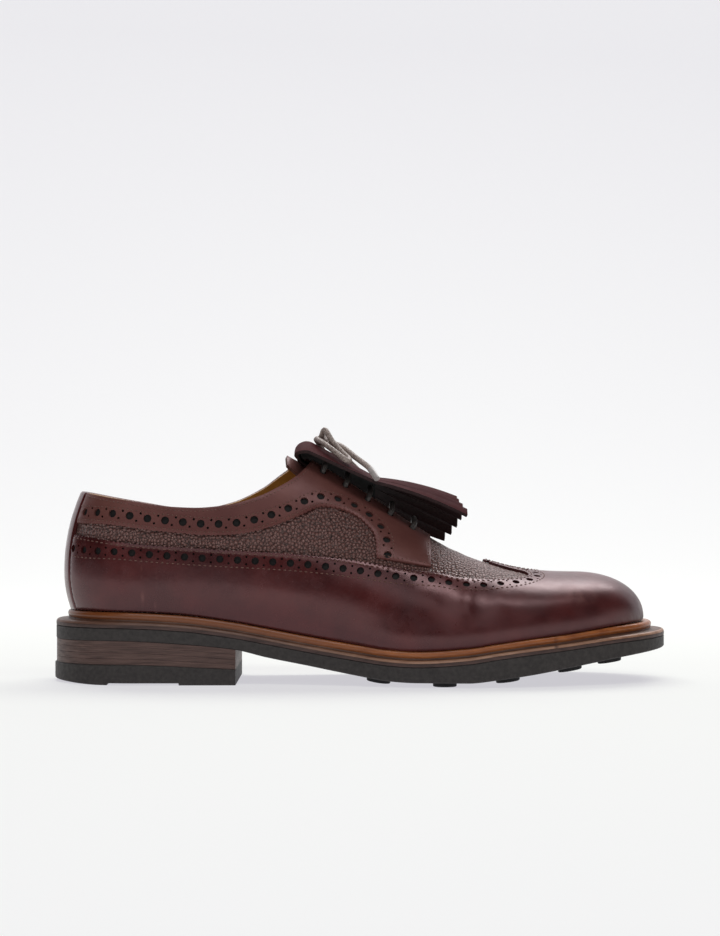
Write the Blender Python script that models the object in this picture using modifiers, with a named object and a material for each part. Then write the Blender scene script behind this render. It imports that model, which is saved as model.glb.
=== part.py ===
"""Full brogue derby with a fringed kiltie, right shoe.

Metres, +Z up, +X to the toe, +Y to the inner (medial) side, sole on z = 0.
The tables are in millimetres and are scaled once, where vertices are made.
"""
import math

import bmesh
import bpy
import numpy as np
from mathutils import Vector

MM = 0.001

# driving dimensions, millimetres
HEEL_X = -145.8          # rearmost point of the lasted wall
TOE_X = 140.4            # foremost point of the lasted wall
HEEL_ROUND_X = -110.0    # where the heel starts to round in
TOE_ROUND_X = 76.0       # where the toe starts to round in
HEEL_ROUND_POWER = 2.1
TOE_ROUND_POWER = 2.15
TOE_SWING = 4.0          # how far the toe leans to the medial side
PLAN_SHIFT = -0.33       # centres the outline on the frame
RIDGE_TOE_X = 108.0      # where the toe box starts to fall
RIDGE_TIP_Z = 30.9
BACK_BULGE_Z = 54.0      # height at which the back of the heel stands out most
BACK_CURVE_LOW = 0.0100
BACK_CURVE_HIGH = 0.0054
BACK_FADE = 75.0
WALL = 2.4               # upper wall
GAP = 0.3                # clearance between neighbouring pieces
RIB_CLEAR = 0.3          # wall starts to bulge this far over the rib
OVERLAY_GAP = 0.4        # clearance under wing, facings and back strap
OVERLAY = 1.2            # wing, facings and back strap
RIB_TOP = 4.4            # storm rib above the welt
WELT_THICK = 3.0
WELT_STATIONS = 28
INSOLE_THICK = 3.4
INSOLE_STATIONS = 26
THROAT_X = 34.2          # front end of the lace facings
BREAST_X = -60.5         # front face of the heel
STATIONS = 36
ROWS = 8
LACE = 2.8               # lace diameter
FLOOR_STUD = 11.5        # stud diameter
STUD_DROP = 2.1          # stud height below the tread

# last: half widths from the centre line, rise of the widest point, fullness
LAST_COLUMNS = ("x", "lateral_feather", "medial_feather", "lateral_wide",
                "medial_wide", "wide_rise", "fullness")
LAST = (
    (-145.8, 30.5, 30.5, 33.0, 33.0, 17.0, 2.50),
    (-112.0, 31.5, 31.0, 34.0, 33.5, 17.0, 2.50),
    (-80.0, 32.0, 30.5, 35.5, 34.0, 18.0, 2.35),
    (-45.0, 31.5, 27.0, 37.0, 33.0, 20.0, 2.10),
    (-10.0, 36.0, 27.0, 41.0, 33.5, 19.0, 1.95),
    (25.0, 45.0, 36.5, 48.0, 41.5, 15.0, 1.90),
    (55.0, 47.5, 44.5, 49.5, 47.0, 12.0, 2.00),
    (80.0, 45.5, 47.0, 47.2, 48.8, 11.0, 2.15),
    (110.0, 43.0, 46.0, 44.5, 47.5, 10.0, 2.30),
    (130.0, 43.0, 46.0, 44.3, 47.3, 6.5, 2.30),
    (140.4, 43.0, 46.0, 44.0, 47.0, 0.4, 2.30),
)
# ridge over the foot: x, z
RIDGE = (
    (-145.8, 128.0), (-80.0, 127.0), (-45.0, 121.0), (-26.0, 112.0),
    (0.0, 94.6), (35.5, 70.5), (42.5, 66.6), (50.0, 63.2), (58.0, 59.9),
    (66.0, 57.4), (74.0, 55.2), (82.0, 53.6), (90.0, 52.6), (98.0, 52.1),
    (108.0, 51.9), (140.4, 51.9),
)
# sole: x, tread_z, top_z of the welt
SOLE = (
    (-152.0, 21.2, 30.9), (-117.0, 21.4, 30.7), (-90.0, 20.0, 29.5),
    (-61.0, 17.2, 25.9), (-45.0, 13.4, 22.9), (-25.0, 9.6, 19.2),
    (0.0, 5.0, 15.3), (14.0, 2.9, 13.5), (27.0, 2.3, 12.9),
    (52.0, 2.3, 14.5), (66.0, 3.7, 16.6), (82.0, 5.9, 18.7),
    (98.0, 8.6, 20.5), (127.0, 13.6, 23.9), (152.0, 16.9, 25.7),
)
# welt edge outside the feather line: x, reach
REACH = (
    (-145.8, 9.0), (-125.0, 6.8), (-100.0, 5.2), (-60.0, 4.6), (-30.0, 4.8),
    (0.0, 6.0), (30.0, 6.6), (80.0, 6.8), (110.0, 8.0), (140.4, 11.6),
)
# collar edge: x, lateral_z, medial_z
TOPLINE = (
    (-145.8, 93.4, 93.4), (-134.0, 91.5, 90.9), (-112.0, 88.7, 87.4),
    (-95.0, 86.6, 85.2), (-80.0, 86.0, 84.8), (-66.0, 87.1, 87.6),
    (-50.0, 91.2, 94.8), (-40.0, 95.8, 102.0), (-32.0, 100.6, 107.4),
    (-26.0, 106.4, 110.2), (-22.0, 113.0, 115.0), (0.0, 150.0, 150.0),
)
# gap between the lace facings: x, half_gap
THROAT = ((-60.0, 0.0), (-30.0, 10.5), (-20.0, 10.0), (0.0, 8.5), (35.0, 5.5))
# wing edge up to the valley, before the centre peak: x, lateral_z, medial_z
WING = (
    (-145.8, 73.0, 73.0), (-132.5, 71.1, 71.1), (-117.2, 69.2, 69.2), (-102.3, 67.8, 67.8),
    (-72.7, 65.9, 65.9), (-38.7, 64.0, 63.9), (-19.3, 62.3, 62.0), (0.1, 59.8, 59.3),
    (19.2, 56.4, 55.6), (38.4, 53.6, 52.5), (48.2, 51.5, 50.5), (57.9, 50.7, 49.8),
    (67.8, 50.5, 49.7), (76.9, 50.7, 50.1), (82.3, 51.5, 51.1),
)
# edge of the centre peak: x, share of the half girth
PEAK = ((62.0, 0.98), (65.0, 0.935), (70.0, 0.905), (75.0, 0.88), (79.1, 0.852), (81.0, 0.826),
        (82.3, 0.78))
WING_START_X = -141.8
WING_VALLEY_X = 82.8
WING_PEAK_X = PEAK[0][0]
WING_CLEAR = 1.2         # wing foot over the storm rib
VALLEY_RUN = 6.0         # length over which the edge runs into the valley
WING_ROWS = 5            # rows of the wall below the valley
# lower edge of the collar band and lace facing: x, z
FACING = (
    (-145.8, 78.4), (-128.8, 78.1), (-118.4, 77.3), (-102.9, 75.2), (-87.6, 73.8),
    (-77.7, 72.9), (-67.9, 72.8), (-58.2, 73.5), (-48.5, 75.3), (-38.9, 78.4),
    (-29.3, 82.1), (-21.7, 85.6), (-17.4, 86.2), (-10.2, 85.1), (-5.3, 83.3),
    (-0.4, 80.6), (2.0, 78.9), (4.5, 76.0), (6.4, 73.0), (7.9, 61.7), (12.0, 60.9),
    (19.1, 59.6), (34.2, 56.9),
)
STRAP_EDGE_X = -142.0    # back strap ends at this station, just behind the wing
STRAP_EXTRA = 0.2        # thicker than the other overlays
# rows of studs: x, share of the half width on the lateral and medial side
STUD_ROWS = (
    (9.0, 0.72, 0.66), (41.0, 0.78, 0.76), (71.5, 0.78, 0.78),
    (102.0, 0.76, 0.76), (122.0, 0.70, 0.70),
)
STUD_FLAT = (20.0, 60.0)     # studs between these stand on the floor
STUD_SIDES = 10
STUD_ROOT = 2.0          # stud runs this far up into the sole
# studs of the middle: x, y
STUD_MIDDLE = ((25.0, -14.0), (25.0, 12.0), (41.0, -3.0), (56.0, -18.0),
               (56.0, 18.0), (71.5, 2.0), (87.0, -14.0), (87.0, 18.0),
               (102.0, 4.0), (113.0, -10.0), (113.0, 18.0), (131.0, 5.0))
HEEL_RECESS = (-123.0, -88.0)
HEEL_RECESS_DEEP = 1.0
HEEL_CURL = 1.6          # back edge of the heel stands off the floor
HEEL_CURL_X = -128.0
HEEL_CURL_RUN = 24.0
HEEL_CURL_POWER = 1.5
TOP_PIECE_OUT = 0.6      # rubber stands out past the lifts
LIFT_IN = 0.2            # lifts stand back from the sole edge
# top of the rubber top piece: x, z
TOP_PIECE = ((-152.0, 9.6), (-117.0, 9.9), (BREAST_X, 7.6))
LIFTS = 4
# storm welt: rib profile outside the feather line, out and rise over the welt
RIB_PROFILE = ((3.5, 0.0), (2.5, 1.1), (3.0, 3.0), (1.9, RIB_TOP), (0.7, RIB_TOP - 0.4), (0.6, 0.0))
WELT_BEVEL = 0.5
WELT_UNDER = 7.0         # welt runs this far under the upper
# tongue: x, half_width
TONGUE = ((-34.0, 15.0), (-26.0, 18.0), (0.0, 18.0), (30.0, 15.0), (44.0, 12.0))
TONGUE_DEEP = 5.1        # outer face below the lasted surface
TONGUE_THICK = 1.8
TONGUE_ROWS = 9
# kiltie leg between tongue and facings: x, half_width
LEG = ((0.0, 6.5), (-14.0, 7.5), (-27.0, 8.5))
LEG_DEEP = 3.65
# kiltie fold and flap: x, z, lateral_drop, medial_drop, half_width
FLAP = (
    (-30.6, 112.2, 2.0, 2.0, 13.0), (-31.6, 114.8, 3.0, 4.6, 19.0),
    (-29.6, 117.3, 4.2, 8.0, 22.5), (-26.0, 118.1, 4.7, 11.0, 24.0),
    (-21.5, 116.1, 4.4, 12.0, 24.5), (-6.0, 107.8, 3.2, 12.5, 25.5),
    (8.0, 100.2, 1.9, 14.0, 26.0),
)
KILTIE_THICK = 1.6
# strips of the fringe, lateral to medial: tip_x, tip_z at the left and right edge, bow
STRIPS = (
    (52.4, 82.2, 85.0, 1.6), (50.4, 85.0, 87.4, 2.0), (48.8, 87.4, 89.6, 1.8),
    (48.0, 89.6, 91.0, 1.6), (47.6, 91.0, 86.8, 1.6), (51.0, 86.8, 79.8, 1.2),
    (49.0, 80.8, 76.0, 0.4), (46.4, 77.0, 72.2, -0.6), (43.2, 73.4, 69.0, -1.6),
)
STRIP_ROWS = 4
SLIT = 0.5
STRIP_SPREAD = 0.02      # strips fan out by this share
# lace: eyelet places along the foot, then the bow
EYELETS_X = (-19.0, -8.0, 3.0, 14.0, 25.0)
EYELET_HALF = 15.0
LACE_RIDE = 3.7          # lace centre above the lasted surface
KNOT = (-19.4, -1.0, 119.3)
KNOT_SIZE = (3.8, 5.0, 2.6)
# bow: points x, y, z
LOOP_LATERAL = ((-19.2, -5.1, 121.2), (-17.4, -8.4, 124.4), (-13.6, -12.4, 118.6),
                (-9.2, -16.0, 113.6), (-5.4, -19.8, 110.0), (-6.8, -23.8, 109.4),
                (-16.6, -15.8, 116.8), (-21.6, -6.2, 120.0))
END_LATERAL = ((-15.4, -2.8, 117.9), (-9.6, -10.0, 116.4), (-2.0, -17.5, 110.6),
               (4.4, -23.0, 105.6), (8.2, -28.4, 100.4))
LOOP_MEDIAL = ((-19.3, 3.4, 121.1), (-17.6, 9.5, 121.4), (-13.6, 15.5, 114.6),
               (-9.8, 20.8, 107.0), (-11.0, 23.4, 104.8), (-15.4, 20.8, 108.6),
               (-20.2, 12.0, 116.9), (-21.9, 3.9, 119.8))
END_MEDIAL = ((-16.1, 1.1, 117.6), (-8.6, 9.0, 111.6), (0.0, 16.0, 103.4),
              (5.0, 22.2, 96.8), (8.0, 27.6, 90.4))

for leftover in list(bpy.data.objects):
    bpy.data.objects.remove(leftover, do_unlink=True)

PARTS = bpy.data.collections.new("full_brogue_derby")
CUTTERS = bpy.data.collections.new("cutters")
for group in (PARTS, CUTTERS):
    bpy.context.scene.collection.children.link(group)


def material(name, colour, roughness):
    made = bpy.data.materials.new(name)
    made.use_nodes = True
    shader = made.node_tree.nodes["Principled BSDF"]
    shader.inputs["Base Color"].default_value = (*colour, 1.0)
    shader.inputs["Roughness"].default_value = roughness
    return made


SMOOTH_LEATHER = material("burgundy_leather", (0.10, 0.03, 0.03), 0.35)
GRAIN_LEATHER = material("grained_leather", (0.06, 0.03, 0.028), 0.45)
LINING_LEATHER = material("tan_leather", (0.40, 0.24, 0.08), 0.55)
WELT_LEATHER = material("welt_leather", (0.30, 0.12, 0.04), 0.5)
STACK_LEATHER = material("stacked_leather", (0.10, 0.06, 0.05), 0.5)
RUBBER = material("studded_rubber", (0.04, 0.04, 0.04), 0.7)
LACE_CORD = material("waxed_cord", (0.11, 0.09, 0.07), 0.6)


def curve_through(rows, column):
    """Monotone cubic through one column of a table, level past its ends."""
    xs = np.array([row[0] for row in rows], float)
    ys = np.array([row[column] for row in rows], float)
    steps = np.diff(xs)
    slopes = np.diff(ys) / steps
    tangents = np.zeros_like(xs)
    tangents[0], tangents[-1] = slopes[0], slopes[-1]
    for i in range(1, len(xs) - 1):
        if slopes[i - 1] * slopes[i] > 0:
            first = 2 * steps[i] + steps[i - 1]
            second = steps[i] + 2 * steps[i - 1]
            tangents[i] = (first + second) / (first / slopes[i - 1] + second / slopes[i])

    def at(x):
        x = min(max(x, xs[0]), xs[-1])
        i = min(int(np.searchsorted(xs, x, side="right")) - 1, len(xs) - 2)
        t = (x - xs[i]) / steps[i]
        t2, t3 = t * t, t * t * t
        return float((2 * t3 - 3 * t2 + 1) * ys[i] + (t3 - 2 * t2 + t) * steps[i] * tangents[i]
                     + (3 * t2 - 2 * t3) * ys[i + 1] + (t3 - t2) * steps[i] * tangents[i + 1])
    return at


last_at = {name: curve_through(LAST, i) for i, name in enumerate(LAST_COLUMNS) if i}
ridge_table = curve_through(RIDGE, 1)
tread_at = curve_through(SOLE, 1)
welt_top_at = curve_through(SOLE, 2)
reach_at = curve_through(REACH, 1)
topline_at = {"lateral": curve_through(TOPLINE, 1), "medial": curve_through(TOPLINE, 2)}
throat_at = curve_through(THROAT, 1)
wing_at = {"lateral": curve_through(WING, 1), "medial": curve_through(WING, 2)}
peak_at = curve_through(PEAK, 1)
facing_at = curve_through(FACING, 1)
top_piece_at = curve_through(TOP_PIECE, 1)
tongue_half_at = curve_through(TONGUE, 1)
SIDES = {"lateral": -1.0, "medial": 1.0}


def ease(low, high, x):
    t = min(max((x - low) / (high - low), 0.0), 1.0)
    return t * t * (3 - 2 * t)


def rounding(x):
    """1 along the foot, falling to 0 at both ends of the last."""
    if x < HEEL_ROUND_X:
        t = min((HEEL_ROUND_X - x) / (HEEL_ROUND_X - HEEL_X), 1.0)
        return (1 - t ** HEEL_ROUND_POWER) ** (1 / HEEL_ROUND_POWER)
    if x > TOE_ROUND_X:
        t = min((x - TOE_ROUND_X) / (TOE_X - TOE_ROUND_X), 1.0)
        return (1 - t ** TOE_ROUND_POWER) ** (1 / TOE_ROUND_POWER)
    return 1.0


def centre_y(x):
    return PLAN_SHIFT + TOE_SWING * ease(50.0, TOE_X, x)


def ridge_z(x):
    if x <= RIDGE_TOE_X:
        return ridge_table(x)
    t = min((x - RIDGE_TOE_X) / (TOE_X - RIDGE_TOE_X), 1.0)
    fall = (1 - t ** TOE_ROUND_POWER) ** (1 / TOE_ROUND_POWER)
    return RIDGE_TIP_Z + (ridge_table(RIDGE_TOE_X) - RIDGE_TIP_Z) * fall


def station_x(s):
    """Place along the foot: s = 0 at the heel, 1 at the toe, dense at both ends."""
    return (HEEL_X + TOE_X) / 2 - (TOE_X - HEEL_X) / 2 * math.cos(math.pi * s)


def station_s(x):
    middle, half = (HEEL_X + TOE_X) / 2, (TOE_X - HEEL_X) / 2
    return math.acos(min(max((middle - x) / half, -1.0), 1.0)) / math.pi


def back_shift(x, z):
    """Forward lean of the heel wall above and below its bulge, upright behind the rib."""
    away = max(z, welt_top_at(x) + RIB_TOP + RIB_CLEAR) - BACK_BULGE_Z
    bend = BACK_CURVE_HIGH if away > 0 else BACK_CURVE_LOW
    return bend * away * away * (1 - ease(HEEL_X, HEEL_X + BACK_FADE, x))


section_store = {}


def section(s, side):
    """Girth line of one half section: points (y, z) and length so far."""
    key = (round(s, 7), side)
    if key in section_store:
        return section_store[key]
    x = station_x(s)
    sign = SIDES[side]
    shrink = rounding(x)
    feather = last_at[side + "_feather"](x) * shrink
    wide = last_at[side + "_wide"](x) * shrink
    base_z = welt_top_at(x) + GAP
    feather_z = welt_top_at(x) + RIB_TOP + RIB_CLEAR
    top_z = ridge_z(x)
    wide_z = min(feather_z + last_at["wide_rise"](x), feather_z + 0.75 * max(top_z - feather_z, 0.0))
    top_z = max(top_z, wide_z + 0.02)
    power = 2 / last_at["fullness"](x)
    line = [(feather, base_z)]
    for k in range(9):
        t = k / 8
        line.append((feather + (wide - feather) * math.sin(math.pi / 2 * t),
                     feather_z + (wide_z - feather_z) * t))
    for k in range(1, 49):
        turn = math.pi / 2 * k / 48
        line.append((wide * max(math.cos(turn), 0.0) ** power,
                     wide_z + (top_z - wide_z) * math.sin(turn) ** power))
    points = np.array([(centre_y(x) + sign * y, z) for y, z in line])
    points[-1][0] = centre_y(x)
    lengths = np.concatenate([[0.0], np.cumsum(np.hypot(*np.diff(points, axis=0).T))])
    section_store[key] = (x, points, lengths)
    return section_store[key]


def last_point(s, v, side):
    """Point of the lasted wall; v = 0 at the welt, 1 on the ridge."""
    x, points, lengths = section(s, side)
    at = v * lengths[-1]
    y = float(np.interp(at, lengths, points[:, 0]))
    z = float(np.interp(at, lengths, points[:, 1]))
    return np.array((x + back_shift(x, z), y, z))


def skin_point(s, v, side, out=0.0):
    """Point of the lasted wall moved out along its own normal."""
    here = last_point(s, v, side)
    if out == 0.0:
        return here
    ds, dv = 0.004, 0.012
    along = last_point(min(s + ds, 1), v, side) - last_point(max(s - ds, 0), v, side)
    up = last_point(s, min(v + dv, 1), side) - last_point(s, max(v - dv, 0), side)
    normal = np.cross(along, up) * -SIDES[side]
    if v > 0.9999 or s < 0.0001:
        normal[1] = 0.0
    if s > 0.9999:
        normal = np.array((1.0, 0.0, 0.25))
    return here + normal / np.linalg.norm(normal) * out


def v_at_height(s, z, side):
    x, points, lengths = section(s, side)
    return float(np.interp(z, points[:, 1], lengths) / lengths[-1])


def v_at_gap(s, half, side):
    x, points, lengths = section(s, side)
    away = np.abs(points[:, 0] - centre_y(x))
    upper = slice(10, None)
    return float(np.interp(-half, -away[upper], lengths[upper]) / lengths[-1])


def v_top(s, side):
    """Upper edge of the wall: collar, lace facing, or the closed ridge."""
    x = station_x(s)
    if x > THROAT_X + 0.01:
        return 1.0
    collar = v_at_height(s, topline_at[side](x), side)
    return min(collar, v_at_gap(s, throat_at(x), side))


FIXED_X = (WING_START_X, -26.0, -23.0, -12.0, 2.0, 6.4, 7.9, 12.0, THROAT_X,
           THROAT_X + 1.2, WING_PEAK_X, 68.0, 74.0, 79.1, WING_VALLEY_X)


def all_stops():
    """Station values, evenly spaced in s, with the fixed places of the panels."""
    wanted = [station_s(x) for x in FIXED_X]
    plain = [i / STATIONS for i in range(STATIONS + 1)]
    kept = [s for s in plain if all(abs(s - w) > 0.45 / STATIONS for w in wanted)]
    return sorted(set(kept + wanted + [0.0, 1.0]))


STOPS = all_stops()


def place(thing, group=PARTS):
    group.objects.link(thing)
    return thing


def mesh_object(name, points, faces, look, weld=0.00002):
    """One object from points in millimetres, with shared corners welded."""
    data = bpy.data.meshes.new(name)
    body = bmesh.new()
    corners = [body.verts.new(Vector([float(c) * MM for c in p])) for p in points]
    for face in faces:
        body.faces.new([corners[i] for i in face])
    bmesh.ops.remove_doubles(body, verts=body.verts, dist=weld)
    bmesh.ops.dissolve_degenerate(body, edges=body.edges, dist=weld)
    loose = [v for v in body.verts if not v.link_faces]
    bmesh.ops.delete(body, geom=loose, context="VERTS")
    loose = [e for e in body.edges if not e.link_faces]
    bmesh.ops.delete(body, geom=loose, context="EDGES")
    body.to_mesh(data)
    body.free()
    data.materials.append(look)
    return bpy.data.objects.new(name, data)


def turn_outward(thing):
    body = bmesh.new()
    body.from_mesh(thing.data)
    bmesh.ops.recalc_face_normals(body, faces=body.faces)
    body.to_mesh(thing.data)
    body.free()


def grid_faces(rows, columns, start, flip):
    faces = []
    for i in range(rows - 1):
        for j in range(columns - 1):
            a = start + i * columns + j
            quad = [a, a + columns, a + columns + 1, a + 1]
            faces.append(quad[::-1] if flip else quad)
    return faces


def shell(name, patches, look, thick, offset):
    """Open patches welded into one sheet, then thickened."""
    points, faces = [], []
    for patch, flip in patches:
        faces += grid_faces(len(patch), len(patch[0]), len(points), flip)
        points += [p for row in patch for p in row]
    made = place(mesh_object(name, points, faces, look, 0.00004))
    thicken = made.modifiers.new("wall", "SOLIDIFY")
    thicken.thickness = thick * MM
    thicken.offset = offset
    thicken.use_even_offset = True
    thicken.use_quality_normals = True
    return made


def loft(name, loops, look, ring=False):
    """Closed loops joined in order; plain ends are capped or already a line."""
    count = len(loops[0])
    points = [p for loop in loops for p in loop]
    faces = []
    for i in range(len(loops) if ring else len(loops) - 1):
        a, b = i * count, ((i + 1) % len(loops)) * count
        for j in range(count):
            k = (j + 1) % count
            faces.append([a + j, a + k, b + k, b + j])
    if not ring:
        faces.append(list(range(count))[::-1])
        faces.append([(len(loops) - 1) * count + j for j in range(count)])
    made = place(mesh_object(name, points, faces, look))
    turn_outward(made)
    return made


def feather(s, side, out):
    """Plan point outside the feather line, level, with its height left to the caller."""
    here = last_point(s, 0.0, side)
    ds = 0.003
    run = last_point(min(s + ds, 1), 0.0, side) - last_point(max(s - ds, 0), 0.0, side)
    normal = np.array((run[1], -run[0])) * -SIDES[side]
    if s < 0.0001 or s > 0.9999:
        normal = np.array((-1.0 if s < 0.5 else 1.0, 0.0))
    normal = normal / np.linalg.norm(normal)
    return here[0] + normal[0] * out, here[1] + normal[1] * out


def sole_edge(s, side, inside=0.0):
    return feather(s, side, reach_at(station_x(s)) - inside)


def sole_station(x, side):
    """s at which the sole edge of one side crosses x."""
    low, high = 0.0, 1.0
    for _ in range(40):
        middle = (low + high) / 2
        if sole_edge(middle, side)[0] < x:
            low = middle
        else:
            high = middle
    return (low + high) / 2


# upper
def wall_levels(s, side):
    """Rows of the wall: foot of the wall, top of the rib, then even steps to its edge."""
    top = v_top(s, side)
    low = v_at_height(s, welt_top_at(station_x(s)) + RIB_TOP + RIB_CLEAR, side)
    return [0.0] + [low + (top - low) * j / ROWS for j in range(ROWS + 1)]


def make_upper():
    patches = []
    for side in SIDES:
        patch = [[last_point(s, v, side) for v in wall_levels(s, side)] for s in STOPS]
        patches.append((patch, side == "medial"))
    return shell("upper", patches, GRAIN_LEATHER, WALL, -1.0)


def wing_low(s, side):
    """Lower edge of the wing, just over the rib."""
    return v_at_height(s, welt_top_at(station_x(s)) + RIB_TOP + WING_CLEAR, side)


def wing_high(s, side):
    """Upper edge of the wing, up to the line that carries its valley to the toe tip."""
    x = station_x(s)
    split = wall_levels(s, side)[1 + WING_ROWS]
    if x >= WING_VALLEY_X:
        return split
    share = ease(WING_VALLEY_X - VALLEY_RUN, WING_VALLEY_X, x)
    return v_at_height(s, wing_at[side](x), side) * (1 - share) + split * share


def peak_low(s, side):
    """Edge of the centre peak, from its tip to the valley."""
    x = station_x(s)
    if x >= WING_VALLEY_X:
        return wall_levels(s, side)[1 + WING_ROWS]
    return peak_at(x)


def overlay_row(s, side, low, high):
    """Points of one overlay row, on the rows of the wall so both have the same facets."""
    levels = wall_levels(s, side)[1:]
    return [skin_point(s, min(max(v, low), high), side, OVERLAY_GAP) for v in levels]


def make_wing():
    patches = []
    for side in SIDES:
        lower = [overlay_row(s, side, wing_low(s, side), wing_high(s, side))
                 for s in STOPS if station_x(s) >= WING_START_X - 0.01]
        upper = [overlay_row(s, side, peak_low(s, side), 1.0)
                 for s in STOPS if station_x(s) >= WING_PEAK_X - 0.01]
        patches.append((lower, side == "medial"))
        patches.append((upper, side == "medial"))
    return shell("wing_foxing", patches, SMOOTH_LEATHER, OVERLAY, 1.0)


def make_facing(side):
    patch = [overlay_row(s, side, v_at_height(s, facing_at(station_x(s)), side), 1.0)
             for s in STOPS if WING_START_X - 0.01 <= station_x(s) <= THROAT_X + 0.01]
    return shell("facing_" + side, [(patch, side == "medial")], SMOOTH_LEATHER, OVERLAY, 1.0)


def make_back_strap():
    """Strip over the back seam, on the stations of the wall."""
    edge = station_s(STRAP_EDGE_X)
    stops = [s for s in STOPS if s < edge - 0.004] + [edge]
    patches = []
    for side in SIDES:
        patch = [overlay_row(s, side, wing_low(s, side), 1.0) for s in stops]
        patches.append((patch, side == "medial"))
    return shell("back_strap", patches, SMOOTH_LEATHER, OVERLAY + STRAP_EXTRA, 1.0)


# sole and heel
def plate(name, stops, low_z, high_z, look, inside, end_x=None):
    """Slab between two height functions inside the sole outline."""
    loops = []
    for s in stops:
        lateral = sole_edge(s, "lateral", inside)
        medial = sole_edge(s, "medial", inside)
        if end_x is not None and s == stops[-1]:
            lateral, medial = (end_x, lateral[1]), (end_x, medial[1])
        loops.append([(*lateral, low_z(lateral[0])), (*medial, low_z(medial[0])),
                      (*medial, high_z(medial[0])), (*lateral, high_z(lateral[0]))])
    return loft(name, loops, look)


def cutter_cylinder(name, x, y, low, high, radius, sides):
    bpy.ops.mesh.primitive_cylinder_add(vertices=sides, radius=radius * MM,
                                        depth=(high - low) * MM,
                                        location=(x * MM, y * MM, (low + high) / 2 * MM))
    made = bpy.context.object
    made.name = name
    for group in made.users_collection:
        group.objects.unlink(made)
    CUTTERS.objects.link(made)
    made.hide_render = True
    made.display_type = "WIRE"
    return made


def cutter_box(name, low, high):
    bpy.ops.mesh.primitive_cube_add(size=1.0, location=[(a + b) / 2 * MM for a, b in zip(low, high)])
    made = bpy.context.object
    made.name = name
    made.scale = [(b - a) * MM for a, b in zip(low, high)]
    for group in made.users_collection:
        group.objects.unlink(made)
    CUTTERS.objects.link(made)
    made.hide_render = True
    made.display_type = "WIRE"
    return made


def boolean(thing, other, operation):
    step = thing.modifiers.new(other.name, "BOOLEAN")
    step.operation = operation
    step.solver = "EXACT"
    step.object = other


def make_outsole():
    stops = [i / 36 for i in range(37)]
    made = plate("outsole", stops, tread_at, lambda x: welt_top_at(x) - WELT_THICK - GAP, RUBBER, 0.0)
    places = []
    for x, lateral, medial in STUD_ROWS:
        for side, share in (("lateral", lateral), ("medial", medial)):
            edge = sole_edge(sole_station(x, side), side)[1]
            places.append((x, edge * share))
    places += list(STUD_MIDDLE)
    for i, (x, y) in enumerate(places):
        low = max(tread_at(x) - STUD_DROP, 0.0)
        if STUD_FLAT[0] <= x <= STUD_FLAT[1]:
            low = 0.0
        high = tread_at(x) + STUD_ROOT
        stud = cutter_cylinder("stud_%02d" % i, x, y, low, high, FLOOR_STUD / 2, STUD_SIDES)
        boolean(made, stud, "UNION")
    return made


def make_welt():
    loops = []
    count = WELT_STATIONS
    walk = [(i / count, "lateral") for i in range(count + 1)]
    walk += [(i / count, "medial") for i in range(count - 1, 0, -1)]
    for s, side in walk:
        reach = reach_at(station_x(s))
        profile = ((reach, -WELT_THICK), (reach, -WELT_BEVEL), (reach - WELT_BEVEL, 0.0), *RIB_PROFILE,
                   (-WELT_UNDER, 0.0), (-WELT_UNDER, -WELT_THICK))
        loop = []
        for out, rise in profile:
            x, y = feather(s, side, out)
            loop.append((x, y, welt_top_at(x) + rise))
        loops.append(loop)
    return loft("welt", loops, WELT_LEATHER, ring=True)


def make_insole():
    loops = []
    for i in range(INSOLE_STATIONS + 1):
        s = i / INSOLE_STATIONS
        lateral = feather(s, "lateral", -WALL - 2 * GAP)
        medial = feather(s, "medial", -WALL - 2 * GAP)
        loops.append([(*lateral, welt_top_at(lateral[0]) + GAP), (*medial, welt_top_at(medial[0]) + GAP),
                      (*medial, welt_top_at(medial[0]) + GAP + INSOLE_THICK),
                      (*lateral, welt_top_at(lateral[0]) + GAP + INSOLE_THICK)])
    return loft("insole", loops, LINING_LEATHER)


def make_heel():
    last_stop = sole_station(BREAST_X, "lateral")
    stops = [last_stop * i / 18 for i in range(19)]

    def between(share):
        def level(x):
            return top_piece_at(x) + (tread_at(x) - GAP - top_piece_at(x)) * share
        return level
    for k in range(LIFTS):
        low, high = between(k / LIFTS), between((k + 1) / LIFTS)
        plate("heel_lift_%d" % (k + 1), stops, lambda x, f=low: f(x) + GAP, high, STACK_LEATHER, LIFT_IN,
              BREAST_X)

    def floor(x):
        return HEEL_CURL * max((HEEL_CURL_X - x) / HEEL_CURL_RUN, 0.0) ** HEEL_CURL_POWER
    top = plate("heel_top_piece", stops, floor, top_piece_at, RUBBER, -TOP_PIECE_OUT, BREAST_X)
    boolean(top, cutter_box("heel_recess", (HEEL_RECESS[0], -60.0, -5.0),
                            (HEEL_RECESS[1], 60.0, HEEL_RECESS_DEEP)), "DIFFERENCE")


def across_point(x, y_half, side, out):
    """Point of the lasted surface at one distance from the centre line."""
    s = station_s(x)
    v = 1.0 if y_half < 0.01 else v_at_gap(s, y_half, side)
    return skin_point(s, v, side, out)


def make_tongue():
    patch = []
    for k in range(TONGUE_ROWS + 1):
        x = TONGUE[0][0] + (TONGUE[-1][0] - TONGUE[0][0]) * k / TONGUE_ROWS
        row = []
        for c in range(-3, 4):
            side = "lateral" if c < 0 else "medial"
            row.append(across_point(x, tongue_half_at(x) * abs(c) / 3, side, -TONGUE_DEEP))
        patch.append(row)
    return shell("tongue", [(patch, False)], LINING_LEATHER, TONGUE_THICK, -1.0)


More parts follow.
